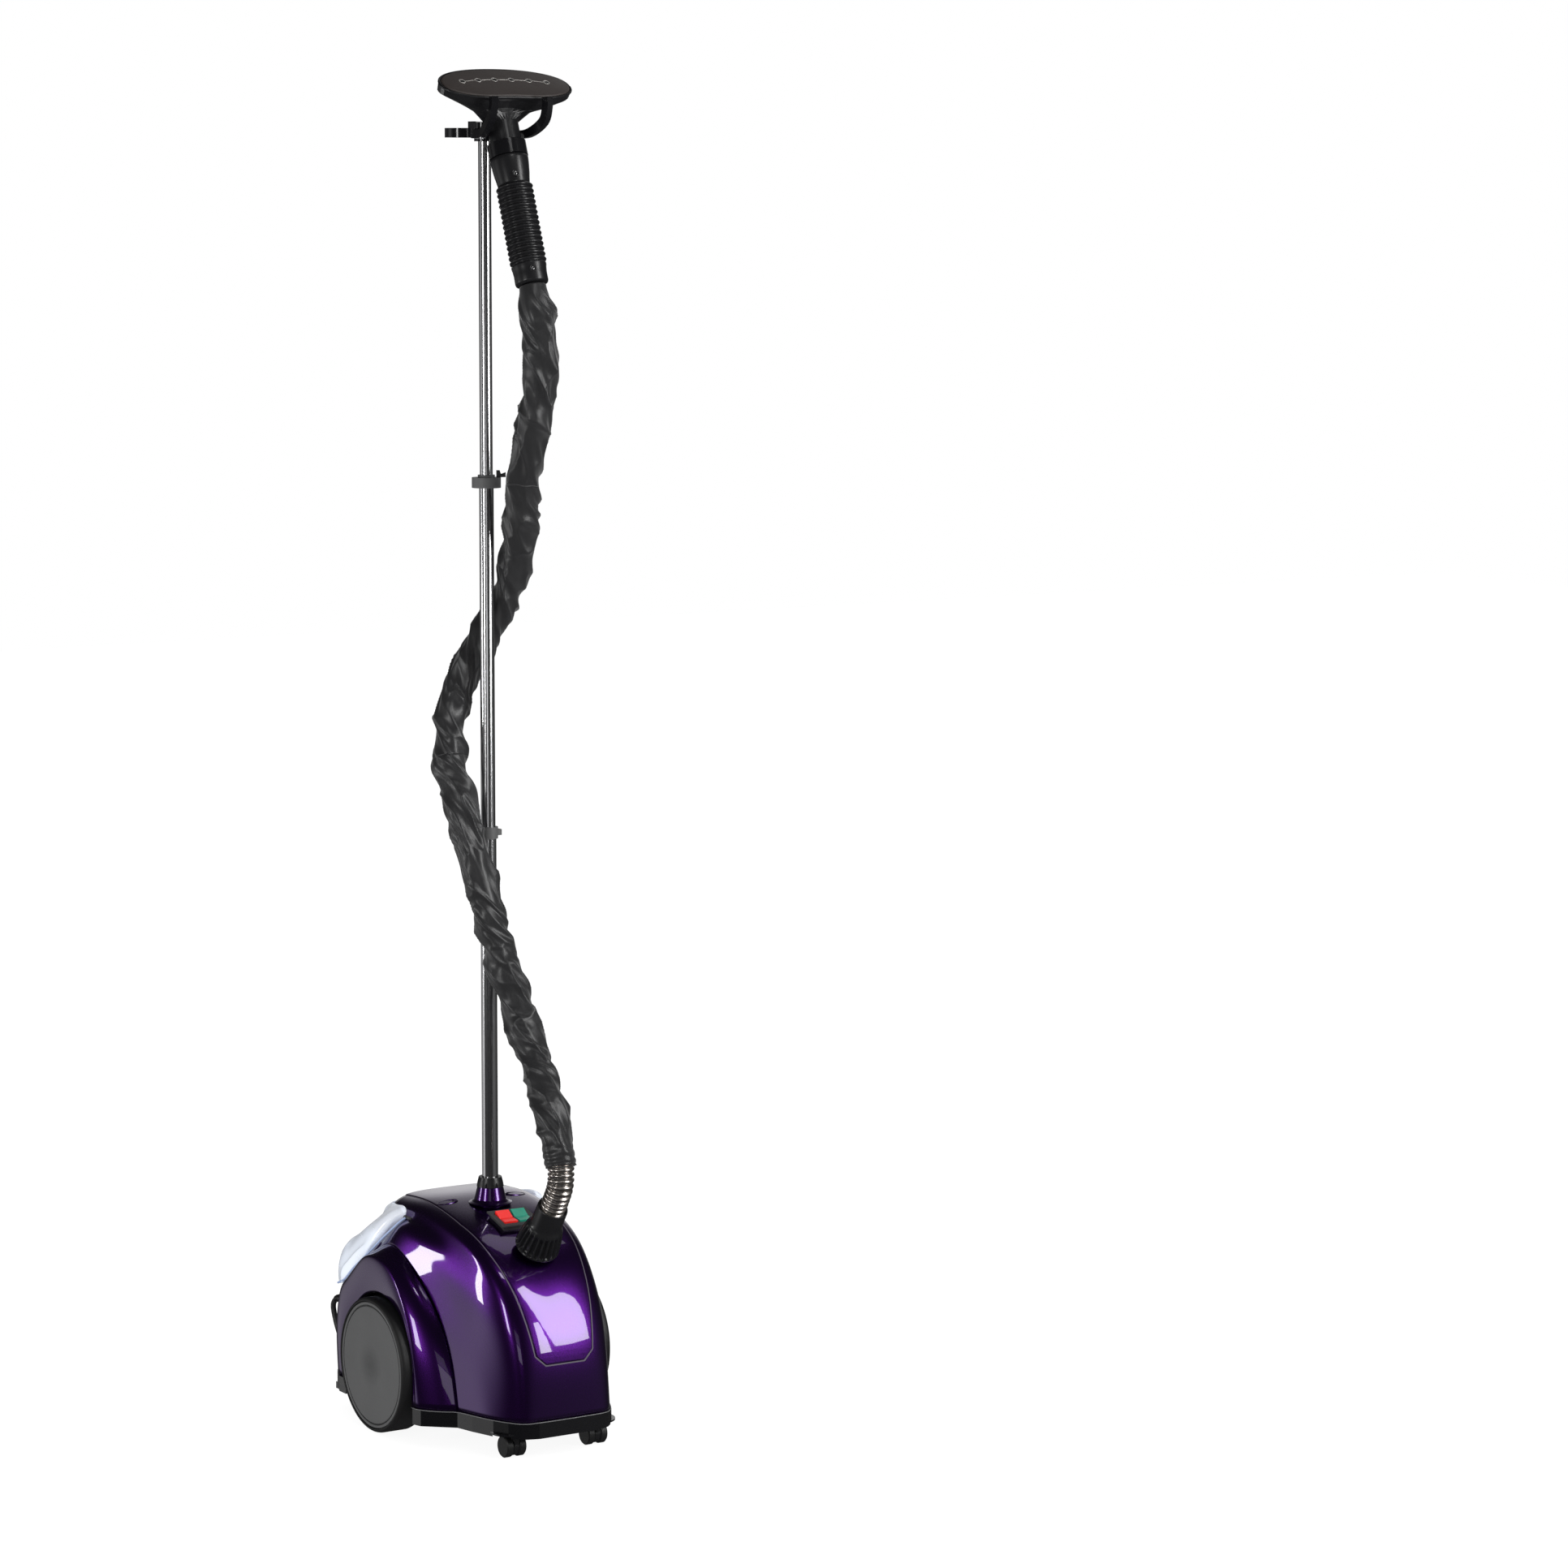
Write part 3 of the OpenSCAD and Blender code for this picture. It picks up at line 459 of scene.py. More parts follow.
PURPLE = pearl_purple()
GLOSS_BLACK = plastic("gloss_black", (0.004, 0.004, 0.005), (0.007, 0.007, 0.008), 900, 0.10, 0.16, 0.004,
                      Coat_Weight=0.6, Coat_Roughness=0.05)
SATIN_BLACK = plastic("satin_black", (0.005, 0.005, 0.006), (0.009, 0.009, 0.010), 520, 0.26, 0.36, 0.02)
GRIP_BLACK = plastic("grip_black", (0.006, 0.006, 0.007), (0.011, 0.011, 0.012), 600, 0.24, 0.32, 0.01)
TRAY_BLACK = plastic("tray_black", (0.003, 0.003, 0.004), (0.005, 0.005, 0.006), 500, 0.16, 0.24, 0.01,
                     Coat_Weight=0.4, Coat_Roughness=0.08)
DISC_GREY = plastic("disc_grey", (0.078, 0.079, 0.080), (0.096, 0.097, 0.098), 700, 0.42, 0.52, 0.015)
TYRE = plastic("tyre_black", (0.005, 0.005, 0.005), (0.010, 0.010, 0.011), 300, 0.40, 0.52, 0.04)
BEZEL_GREY = plastic("bezel_grey", (0.040, 0.040, 0.042), (0.058, 0.058, 0.060), 600, 0.36, 0.46, 0.02)
RED = lit_plastic("switch_red", (0.78, 0.012, 0.010), (0.90, 0.022, 0.018))
GREEN = lit_plastic("switch_green", (0.008, 0.20, 0.13), (0.018, 0.30, 0.20))
PLATE_COAT = plastic("plate_coating", (0.034, 0.027, 0.025), (0.042, 0.034, 0.031), 1200, 0.46, 0.56, 0.01)
CHROME = metal("pole_chrome", (0.62, 0.62, 0.63), (0.74, 0.74, 0.76), 0.17, 0.19, 0.0)
WARM_STEEL = metal("hose_steel", (0.60, 0.55, 0.51), (0.74, 0.69, 0.65), 0.24, 0.30, 0.03)
CAST = metal("cast_aluminium", (0.50, 0.50, 0.51), (0.62, 0.62, 0.63), 0.42, 0.60, 0.0)
CLOTH = sleeve_cloth()
CLEAR = clear_plastic()
PALE = plastic("pale_plastic", (0.72, 0.72, 0.71), (0.82, 0.82, 0.80), 500, 0.32, 0.42, 0.01)
CERAMIC = plastic("pale_ceramic", (0.76, 0.73, 0.65), (0.84, 0.81, 0.74), 400, 0.55, 0.70, 0.03)
PALE_RUBBER = plastic("pale_rubber", (0.66, 0.66, 0.64), (0.76, 0.76, 0.73), 400, 0.45, 0.58, 0.02)
# Dark rubber of the steam pipe and the lead tie; it also serves as painted shade in the gaps of the metal spiral.
DARK_RUBBER_AND_GAP_SHADE = plastic("dark_rubber", (0.03, 0.03, 0.03), (0.05, 0.05, 0.05), 400, 0.50, 0.64, 0.03)
WIRE = plastic("wire_brown", (0.28, 0.12, 0.06), (0.36, 0.17, 0.09), 400, 0.36, 0.46, 0.01)
LEAD = plastic("lead_black", (0.014, 0.014, 0.014), (0.024, 0.024, 0.024), 420, 0.34, 0.44, 0.02)

# ---------------------------------------------------------------- camera, floor and light
scene = bpy.context.scene
scene.view_settings.view_transform = "Standard"


def set_camera():
    """A long lens to the front left, just under the height of the pole's top, looking slightly down."""
    place = (-2.756, -4.978, 1.4837)
    forward = Vector((0.5327, 0.8371, -0.1249)).normalized()
    right = Vector((0.8437, -0.5369, 0.0)).normalized()
    up = right.cross(forward)
    roll = math.radians(0.1227)
    right, up = right * math.cos(roll) + up * math.sin(roll), up * math.cos(roll) - right * math.sin(roll)
    data = bpy.data.cameras.new("Camera")
    data.lens, data.sensor_width, data.clip_end = 111.96, 36.0, 60.0
    obj = bpy.data.objects.new("Camera", data)
    obj.matrix_world = Matrix([(right[i], up[i], -forward[i], place[i]) for i in range(3)] + [(0, 0, 0, 1)])
    scene.collection.objects.link(obj)
    scene.camera = obj


def softbox(name, direction, distance, size, power, target=(0.0, -0.05, 0.35)):
    """A soft rectangular lamp on the side of the direction, facing the target."""
    data = bpy.data.lights.new(name, "AREA")
    data.shape, data.size, data.size_y = "RECTANGLE", size[0], size[1]
    data.energy = power
    obj = bpy.data.objects.new(name, data)
    away = Vector(direction).normalized()
    obj.location = Vector(target) + away * distance
    obj.rotation_euler = away.to_track_quat("Z", "Y").to_euler()
    obj.visible_camera = False
    scene.collection.objects.link(obj)


def set_floor():
    """A plain white floor that isn't seen in reflections."""
    mesh = bpy.data.meshes.new("floor")
    mesh.from_pydata([(-9, -9, 0), (9, -9, 0), (9, 9, 0), (-9, 9, 0)], [], [(0, 1, 2, 3)])
    obj = bpy.data.objects.new("floor", mesh)
    scene.collection.objects.link(obj)
    f = Finish("floor_white", Roughness=0.7, Specular_IOR_Level=0.1, Emission_Color=(1, 1, 1, 1),
               Emission_Strength=0.92)
    f.tint((0.20, 0.20, 0.20), (0.22, 0.22, 0.22), 3.0)
    mesh.materials.append(f.material)
    obj.visible_glossy = False


def set_world():
    """White for the camera; for reflections, dark but for soft glows behind and to the left."""
    world = bpy.data.worlds.new("studio")
    scene.world = world
    world.use_nodes = True
    tree = world.node_tree
    add, link = tree.nodes.new, tree.links.new
    back = tree.nodes["Background"]
    back.inputs["Color"].default_value = (1, 1, 1, 1)
    where, path = add("ShaderNodeTexCoord"), add("ShaderNodeLightPath")
    shade = 0.022
    for (dx, dy, dz), tight, strength in (((0.53, 0.83, 0.16), 24.0, 0.9), ((-0.85, 0.50, -0.16), 40.0, 0.9),
                                          ((-0.40, 0.88, -0.24), 60.0, 0.7),
                                          ((0.70, -0.70, -0.16), 5.0, 0.08)):
        dot = add("ShaderNodeVectorMath")
        dot.operation = "DOT_PRODUCT"
        link(where.outputs["Generated"], dot.inputs[0])
        dot.inputs[1].default_value = (dx, dy, dz)
        near = maths(add, link, "POWER", maths(add, link, "MAXIMUM", dot.outputs["Value"], 0.0), tight)
        shade = maths(add, link, "ADD", maths(add, link, "MULTIPLY", near, strength), shade)
    soft = add("ShaderNodeMix")
    link(path.outputs["Is Diffuse Ray"], soft.inputs["Factor"])
    link(shade, soft.inputs["A"])
    soft.inputs["B"].default_value = 0.55
    seen = add("ShaderNodeMix")
    link(path.outputs["Is Camera Ray"], seen.inputs["Factor"])
    link(soft.outputs[0], seen.inputs["A"])
    seen.inputs["B"].default_value = 1.0
    link(seen.outputs[0], back.inputs["Strength"])


set_camera()
set_floor()
set_world()
softbox("tall_box", (0.47, -0.74, 0.48), 2.4, (0.46, 2.0), 27)
softbox("strip_box", (-0.89, 0.43, 0.12), 2.4, (0.17, 0.62), 5, target=(0, -0.1, 0.24))
softbox("pod_box", (-0.06, -0.40, 0.91), 2.2, (0.30, 0.24), 1.5)
softbox("top_box", (0.43, 0.26, 0.87), 2.2, (0.80, 0.60), 1.2)
softbox("middle_tube_box", (-0.53, -0.84, -0.125), 3.0, (0.9, 0.40), 1.3, target=(0, 0, 0.93))
softbox("top_tube_box", (-0.53, -0.84, -0.125), 3.0, (0.9, 0.40), 0.5, target=(0, 0, 1.34))
softbox("pole_left", (-0.93, -0.36, -0.04), 3.0, (0.45, 1.0), 15, target=(0, 0, 1.2))
softbox("pole_right", (0.40, -0.92, -0.04), 3.0, (0.25, 1.0), 8, target=(0, 0, 1.2))


# ---------------------------------------------------------------- mains lead
LEAD_OUT = np.array((-98.0, 178.0, 118.0))
COIL = np.array((-6.0, 246.0, 0.0))
LEAD_R = 3.3


def lead_path():
    """Down from the gland, then round and round in a lazy coil, ending at the plug."""
    out = LEAD_OUT
    start = [out + d for d in (
        np.array((0, -8, 0)), np.array((0, 4, 1)), np.array((0, 24, 6)), np.array((-1, 38, -4)),
        np.array((0, 34, -24)), np.array((2, 24, -46)), np.array((6, 16, -72)))]
    start += [np.array((-84, 200, 22)), np.array((-70, 214, 8))]
    turns = []
    for radius, height, begin, end in ((46, 3.6, 200, 520), (39.5, 3.6, 540, 860), (35.5, 10.0, 890, 1210),
                                       (43, 10.2, 1240, 1560), (39.5, 16.4, 1590, 1900)):
        for a in np.arange(begin, end, 16.0):
            t = math.radians(a)
            turns.append(COIL + (radius * math.cos(t), radius * math.sin(t) * 0.97, height))
    tail = [np.array((60, 262, 12)), np.array((72, 252, 10)), np.array((76, 241, 11))]
    return through(np.array(start + turns + tail), 4)


def make_lead():
    """The lead with its strain relief, the tie round its coil, and the plug."""
    path, along = evenly(lead_path(), 2.2)
    verts, faces = closed_tube(sweep_rings(path, LEAD_R, 16))
    lead = piece("mains_lead", "base", verts, faces, LEAD, "lead_rubber", ("cord_lead", "cord_coil"))
    relief = []
    for i in range(12):
        relief += [(6.6 - 0.22 * i, 3.2 * i), (6.6 - 0.22 * i, 3.2 * i + 2.0), (5.2 - 0.16 * i, 3.2 * i + 2.2),
                   (5.2 - 0.16 * i, 3.2 * i + 3.0)]
    near, _ = evenly(path[along < 42], 1.0)
    h = np.linspace(0, 38.4, len(near))
    r = np.interp(h, [q[1] for q in relief], [max(q[0], LEAD_R + 0.2) for q in relief])
    gland = piece("lead_strain_relief", "base", *closed_tube(sweep_rings(near, r, 28)), SATIN_BLACK, "black_plastic")
    tie = []
    for k in range(40):
        t = 2 * math.pi * k / 40
        tie.append((COIL[0] + 39.5 + 9.6 * math.cos(t), COIL[1], 10.6 + 9.4 * math.sin(t)))
    tie = np.array(tie + tie[:1])
    band = piece("lead_tie", "base", *closed_tube(sweep_rings(tie, 1.1, 10, (0, 1, 0))), DARK_RUBBER_AND_GAP_SHADE, "lead_rubber")
    plug = make_plug((86, 238, 11), 200)


def make_plug(at, turn):
    """A moulded two-pin plug lying on the floor."""
    place = Matrix.Translation(Vector(at)) @ Matrix.Rotation(math.radians(turn), 4, "Z") @ Matrix.Rotation(
        math.radians(-90), 4, "Y")
    rows = []
    for h, w, d in ((-12, 4.2, 4.2), (-8, 5.2, 5.2), (-2, 6.4, 6.4), (3, 9.0, 8.0), (8, 13.0, 9.4), (14, 16.2, 10.2),
                    (22, 17.6, 10.4), (30, 17.6, 10.2), (36, 16.6, 9.6), (38, 15.2, 8.6)):
        a = np.linspace(0, 2 * np.pi, 48, endpoint=False)
        c, s = np.cos(a), np.sin(a)
        rows.append(np.stack([d * np.sign(c) * np.abs(c) ** 0.8, w * np.sign(s) * np.abs(s) ** 0.8, np.full(48, h)], 1))
    flip = Matrix.Rotation(math.radians(180), 4, "X")
    body = piece("plug_body", "base", *closed_tube(np.array(rows)), LEAD, "lead_rubber", ("cord_plug",), place @ flip)
    out = [body]
    for k, y in enumerate((-9.5, 9.5)):
        pin = lathe(f"plug_pin_{k + 1}", "base", [(0, 36), (2.4, 36), (2.4, 54), (1.4, 56.6), (0, 57)], CHROME,
                    place @ flip @ Matrix.Translation((0, y, 0)), "bright_steel", turns=24)
        out.append(pin)
    return out


make_lead()


# ---------------------------------------------------------------- steam hose
ROUTE = [
    (0, -111.2, 1351.3), (0, -117, 1333), (3, -120, 1304), (7, -118, 1271), (9, -104, 1220), (12, -84, 1177),
    (18, -60, 1129), (27, -34, 1072), (32, -4, 1013), (20, 27, 953), (-8, 40, 900), (-30, 34, 850), (-40, 20, 800),
    (-36, 4, 760), (-34, -8, 720), (-29, -22, 676), (-20, -33, 630), (-12, -39, 590), (-4, -48, 550), (3, -62, 510),
    (7, -82, 474), (8, -108, 440), (5, -136, 405), (2, -157, 370), (0, -168, 340),
]
HOSE_JOINS = (6, 12)


def ridge(x, y, z):
    """Noise with sharp crests, from 0 to 1."""
    return max(0.0, 1.0 - 2.4 * abs(noise.noise(Vector((x, y, z)))))


def sleeve_radius(s, total, angle):
    """Loose cloth over a stiffer core: slanting gathered folds, pinched at places, tight at both ends."""
    twist = angle + s * (2 * math.pi / 260.0) + 2.2 * noise.noise(Vector((s * 0.007, 3.1, 0)))
    c, d = math.cos(twist), math.sin(twist)
    big = ridge(c * 0.62, d * 0.62, s * 0.010 + 5)
    slant = ridge(c * 0.95 + 9, d * 0.95, s * 0.017)
    across = ridge(math.cos(angle + s * 0.022) * 0.6, math.sin(angle + s * 0.022) * 0.6 + 7, s * 0.024)
    small = noise.noise(Vector((c * 2.2, d * 2.2 + 4, s * 0.036 + 2)))
    swell = math.sin(s / 66.0 * 2 * math.pi + 5.0 * noise.noise(Vector((s * 0.005, 0, 1))))
    r = 14.9 + 3.8 * big**1.5 + 3.6 * slant**1.8 + 3.0 * across**1.8 + 0.5 * small + 1.0 * swell
    top, low = min(1.0, s / 30.0), min(1.0, (total - s) / 40.0)
    top, low = top * top * (3 - 2 * top), low * low * (3 - 2 * low)
    r = 15.6 + (r - 15.6) * top
    cuff = 17.4 + 0.8 * math.sin(s * 2 * math.pi / 8.5 + 2.4 * small) + 0.6 * small + 0.8 * across
    return max(14.6, min(24.2, cuff + (r - cuff) * low))


def sleeve_rings():
    """The hose's route and the rings of cloth round it."""
    path, along = evenly(through(np.array(ROUTE, float), 16), 1.6)
    total, turns = along[-1], 96
    a = np.linspace(0, 2 * np.pi, turns, endpoint=False)
    radius = np.array([[sleeve_radius(s, total, t) for t in a] for s in along])
    return path, along, sweep_rings(path, radius, turns)


def cloth_map(mesh, rows, cols, along):
    """U runs round the sleeve and V along it, in metres, for the weave."""
    layer = mesh.uv_layers.new(name="weave")
    for poly in mesh.polygons:
        for k in poly.loop_indices:
            vertex = mesh.loops[k].vertex_index
            r, c = divmod(min(vertex, rows * cols - 1), cols)
            u = c / cols
            if c == 0 and any(
                mesh.loops[j].vertex_index % cols == cols - 1 for j in poly.loop_indices
            ):
                u = 1.0
            layer.data[k].uv = (u * 2 * math.pi, along[r] * MM)


def sleeve_part(name, rows, along, node):
    """One length of sleeve, with a map for its weave."""
    obj = piece(name, None, *closed_tube(rows), CLOTH, "sleeve_cloth", (node,))
    cloth_map(obj.data, *rows.shape[:2], along)
    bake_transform(obj)
    return obj


def make_hose():
    """Three lengths of sleeve, cut at two places along the hose's route."""
    path, along, rings = sleeve_rings()
    cuts = [int(np.argmin(np.linalg.norm(path - np.array(ROUTE[k]), axis=1))) for k in HOSE_JOINS]
    spiral = make_spiral()
    spans = (
        ("sleeve_top", 0, cuts[0], "pole_top", "hand_set", 6, 0, "hose_top"),
        ("sleeve_mid", cuts[0], cuts[1], "pole_middle", "pole_top", 12, 6, "hose_mid"),
        ("sleeve_low", cuts[1], len(path) - 1, "base", "pole_middle", 24, 12, "hose_low"),
    )
    for name, i, j, a, b, start, end, node in spans:
        obj = sleeve_part(name, rings[i:j + 1], along[i:j + 1], node)


def make_spiral():
    """Bright ribbed metal hose between the union nut and the sleeve; the faces in the gaps between its ribs take dark
    rubber, as painted shade in the gaps.
    """
    lean = math.radians(SPIGOT_LEAN)
    a = np.array((0, -math.sin(lean), math.cos(lean)))
    spigot = np.array(SPIGOT_AT, float)
    line = through(np.array([spigot + 47 * a, spigot + 63 * a, spigot + 80 * a, (0, -167, 318), (0, -168.5, 340),
                             (0, -165, 352)]), 30)
    path, along = evenly(line, 0.42)
    pitch, turns = 6.2, 72
    phase = (along / pitch) % 1.0
    lobe = np.sqrt(np.clip(1 - ((phase - 0.40) / 0.40) ** 2, 0, 1))
    obj = piece("metal_spiral", "base", *closed_tube(sweep_rings(path, 12.7 + 2.9 * lobe, turns)), WARM_STEEL,
                "hose_steel", ("metal_hose",))
    # The faces in the gaps between the ribs take the dark rubber: painted shade in the gaps.
    obj.data.materials.append(DARK_RUBBER_AND_GAP_SHADE)
    for k, poly in enumerate(obj.data.polygons):
        row = k // turns
        if row < len(path) and phase[row] > 0.80:
            poly.material_index = 1
    return obj


make_hose()


# ---------------------------------------------------------------- carried-over parts
def dress(names, material, bevel=0.0, segments=2, angle=32):
    """Finish and rounded edges for nodes kept from the frame."""
    for name in names:
        obj = nodes[name]
        obj.data.materials.clear()
        obj.data.materials.append(material)
        if bevel:
            soften_edges(obj, bevel, segments, angle)


dress(["chassis", "arch_liners", "tank_bay"], TRAY_BLACK, 0.4)
dress(["pole_socket"], PURPLE, 0.6)
dress(["switch_bezel"], BEZEL_GREY, 1.2, 4, 40)
dress(["rocker_red"], RED, 0.8, 4)
dress(["rocker_green"], GREEN, 0.8, 4)
dress(["switch_bodies", "steam_spigot", "wheel_hub_left", "wheel_hub_right", "castor_left", "castor_right",
       "tank_cap", "cord_gland"], SATIN_BLACK, 0.5)
dress(["pole_nut", "clamp_lever"], SATIN_BLACK, 0.7, 3)
dress(["boiler"], CAST, 0.8)
dress(["element", "thermostat", "rear_axle", "axle_clips", "head_pipe", "hand_screws", "tray_screws"], CHROME, 0.2)
dress(["thermal_fuse"], CERAMIC, 0.3)
dress(["steam_pipe"], DARK_RUBBER_AND_GAP_SHADE)
dress(["feed_tube"], PALE_RUBBER)
dress(["harness"], WIRE)
dress(["tank_valve"], PALE, 0.3)
dress(["clip_lower", "clamp_upper"], DISC_GREY, 0.7, 3)
dress(["castor_wheels_left", "castor_wheels_right"], TYRE, 0.8)
dress(["fork"], GLOSS_BLACK, 1.3, 4)
dress(["hanger_ring", "grip_collar"], GLOSS_BLACK, 0.6, 3)
dress(["head"], GRIP_BLACK, 0.6)


# ---------------------------------------------------------------- body covers
def fitted(points, per):
    """Smooth curve through every point with even curvature; extra axes are carried along."""
    p = np.asarray(points, float)
    n, flat = len(p), p.reshape(len(p), -1)
    a = np.eye(n) * 4 + np.eye(n, k=1) + np.eye(n, k=-1)
    a[0], a[-1] = 0, 0
    a[0, 0] = a[-1, -1] = 6
    c = np.linalg.solve(a, flat * 6)
    return bspline(c, per).reshape(-1, *p.shape[1:])


def eased(points, per):
    """As fitted, but it lets small kinks go: it passes between a point and the mean of its neighbours."""
    p = np.asarray(points, float)
    flat = p.reshape(len(p), -1)
    mean = flat.copy()
    mean[1:-1] = (flat[:-2] + 4 * flat[1:-1] + flat[2:]) / 6
    return bspline(flat + 0.3 * (flat - mean), per).reshape(-1, *p.shape[1:])


SEAM_X = (-40, -42, -46, -51, -57, -60, -62, -63, -62)
MID_LINE = [(0, *q) for q in ((-183, 45), (-179.5, 107), (-165.4, 159), (-142, 199), (-106, 232), (-60, 254),
                              (0, 266.5), (48, 272.5), (98, 269))]
SEAM = [(x, *q) for x, q in zip(SEAM_X, ((-182, 45), (-178, 107), (-163.5, 158.5), (-140.5, 197.5), (-105, 230),
                                         (-59.5, 252), (0, 264), (48, 269.5), (97, 266)))]
SHOULDER = [(-61, -174, 45), (-63, -166, 107), (-67, -148, 158), (-70, -123, 193), (-73, -88, 224),
            (-77, -45, 243), (-80, 8, 255), (-82, 46, 259), (-81, 97, 254)]
GROOVE = [(-77, -145, 45), (-77, -134, 105), (-78, -118, 157), (-79, -100, 184), (-81, -68, 212),
          (-84, -28, 236), (-86, 12, 247), (-88, 44, 252), (-87, 97, 247)]
SIDE = [(-86, -118, 45), (-86, -106, 104), (-86, -86, 153), (-88, -62, 182), (-92, -32, 208), (-96, -3, 228),
        (-98, 25, 242), (-99, 48, 244), (-99, 90, 215), (-99, 106, 205), (-99, 134, 182), (-99, 166, 150),
        (-99, 172, 100), (-99, 171, 45)]
VALLEY = [(-94, -88, 45), (-94, -74, 105), (-96, -53, 144), (-98, -32, 168), (-102, -10, 190), (-106, 12, 208),
          (-109, 33, 220), (-110, 54, 222), (-110, 88, 205), (-108, 104, 200), (-108, 132, 178), (-108, 163, 150),
          (-108, 169, 100), (-108, 168, 45)]
CREST = [(-111, -76, 45), (-111, -65, 105), (-112, -46, 146), (-113, -28, 171), (-115, -7, 192), (-117, 14, 206),
         (-118, 35, 214), (-118, 54, 217), (-118, 86, 202), (-117, 102, 196), (-117, 130, 174), (-117, 157, 151),
         (-117, 165, 100), (-117, 163, 45)]
RIDGE = [(-126, -58, 45), (-126, -50, 104), (-126, -34, 145), (-126, -18, 170), (-126, 1, 190), (-126, 20, 203),
         (-126, 40, 208), (-126, 57, 209), (-126, 80, 204), (-126, 100, 190), (-126, 128, 166), (-126, 147, 151),
         (-125, 158, 100), (-124, 156, 45)]
EDGE = [(-129, *q) for q in ((-50, 45), (-40, 104), (-26, 145), (-14, 166), (5, 184), (23, 197), (41, 202),
                             (57, 203), (79, 198), (97, 184), (122, 161), (140, 145), (150, 100), (149, 45))]
ARCH_R = 85.5


def arch_lines():
    """The side edge kept clear of the wheel arch, a line half way down, and the arch itself."""
    outer, middle, arch = [], [], []
    for k, (x, y, z) in enumerate(EDGE):
        angle = math.atan2(z - AXLE_Z, y - AXLE_Y)
        radius = max(math.hypot(y - AXLE_Y, z - AXLE_Z), ARCH_R + 2.2)
        if k in (0, len(EDGE) - 1):
            angle = math.pi + math.radians(24.5) if k == 0 else -math.radians(24.5)
        for line, r, side in ((outer, radius, x), (middle, (radius + ARCH_R) / 2 + 0.4, x - 0.5), (arch, ARCH_R, x)):
            z_at = 45.0 if k in (0, len(EDGE) - 1) else AXLE_Z + r * math.sin(angle)
            line.append((side, AXLE_Y + r * math.cos(angle), z_at))
    return outer, middle, arch


def mirrored(points):
    """The same points on the other side of the middle plane."""
    return np.asarray(points, float) * (-1, 1, 1)


def outward(obj, inside=(0, 40, 120)):
    """Turn the faces so that most look away from a point inside."""
    mesh = obj.data
    c = np.array(inside) * MM
    total = sum(p.area * (Vector(p.center) - Vector(c)).dot(p.normal) for p in mesh.polygons)
    if total < 0:
        mesh.flip_normals()
    return obj


def front_surface(across=10, along=9):
    """Rows from the tray up and back; columns from the left valley to the right one."""
    left = [VALLEY[:9], SIDE[:9], GROOVE, SHOULDER, SEAM]
    lines = [np.array(q, float) for q in left] + [np.array(MID_LINE, float)]
    lines += [mirrored(q) for q in reversed(left)]
    net = fitted(np.array(lines), across)
    return eased(net.transpose(1, 0, 2), along)


def side_surface(across=8, along=7):
    """Rows from the tray up and back; columns from the valley out to the wheel arch."""
    outer, middle, arch = arch_lines()
    lines = np.array([VALLEY, CREST, RIDGE, outer, middle, arch], float)
    return eased(fitted(lines, across).transpose(1, 0, 2), along)


def in_box(place, half_x, half_y, half_z=30):
    """A test that is true for points inside a box at a place."""
    turn = np.linalg.inv(np.array(place))

    def test(points):
        q = points @ turn[:3, :3].T + turn[:3, 3]
        return (np.abs(q[:, 0]) < half_x) & (np.abs(q[:, 1]) < half_y) & (np.abs(q[:, 2]) < half_z)

    return test


def round_pole(points):
    """True near the pole, where the covers have a hole under the socket's foot."""
    return np.hypot(points[:, 0], points[:, 1]) < POLE_HOLE_R


def without(verts, faces, test):
    """The faces whose middle isn't inside the tested space."""
    f = np.array(faces)
    keep = ~test(np.asarray(verts)[f].mean(1))
    return verts, f[keep].tolist()


def opened(points):
    """A grid as a sheet, with holes for the switch panel and the pole."""
    verts, faces = without(*sheet_of(points), in_box(BEZEL, *BEZEL_HALF))
    return without(verts, faces, round_pole)


FRONT = front_surface()
# Grey of the seam round the centre panel: a real joint, made pale to paint the highlight on the panel's raised edge.
SEAM_AND_HIGHLIGHT_GREY = plastic("seam_and_highlight_grey", (0.075, 0.062, 0.088), (0.10, 0.085, 0.115), 500, 0.3, 0.4, 0.0)


def make_covers():
    """The front cover, and on each side the pod and the edge that carries on to the rear."""
    front = outward(piece("front_cover", "base", *opened(FRONT), PURPLE, "purple_gloss", ("front_shell",)))
    thicken(front, 2.4)
    side = side_surface()
    rear = eased(fitted(np.array([SIDE[8:], VALLEY[8:]], float), 5).transpose(1, 0, 2), 7)
    for name, sign in (("left", 1), ("right", -1)):
        flip = np.array((sign, 1, 1))
        for part, grid, replaced in (("side_cover", side, (f"side_shell_{name}",)), ("rear_edge", rear, ())):
            obj = piece(f"{part}_{name}", "base", *sheet_of(grid * flip), PURPLE, "purple_gloss", replaced)
            thicken(outward(obj, (-60 * sign, 40, 80)), 2.2)


def on_cover(row, x):
    """Point of the front cover on a row (which may be between two) at a sideways place."""
    k = min(int(row), len(FRONT) - 2)
    t = row - k
    line = FRONT[k] * (1 - t) + FRONT[k + 1] * t
    order = np.argsort(line[:, 0])
    return np.array((x, np.interp(x, line[order, 0], line[order, 1]), np.interp(x, line[order, 0], line[order, 2])))


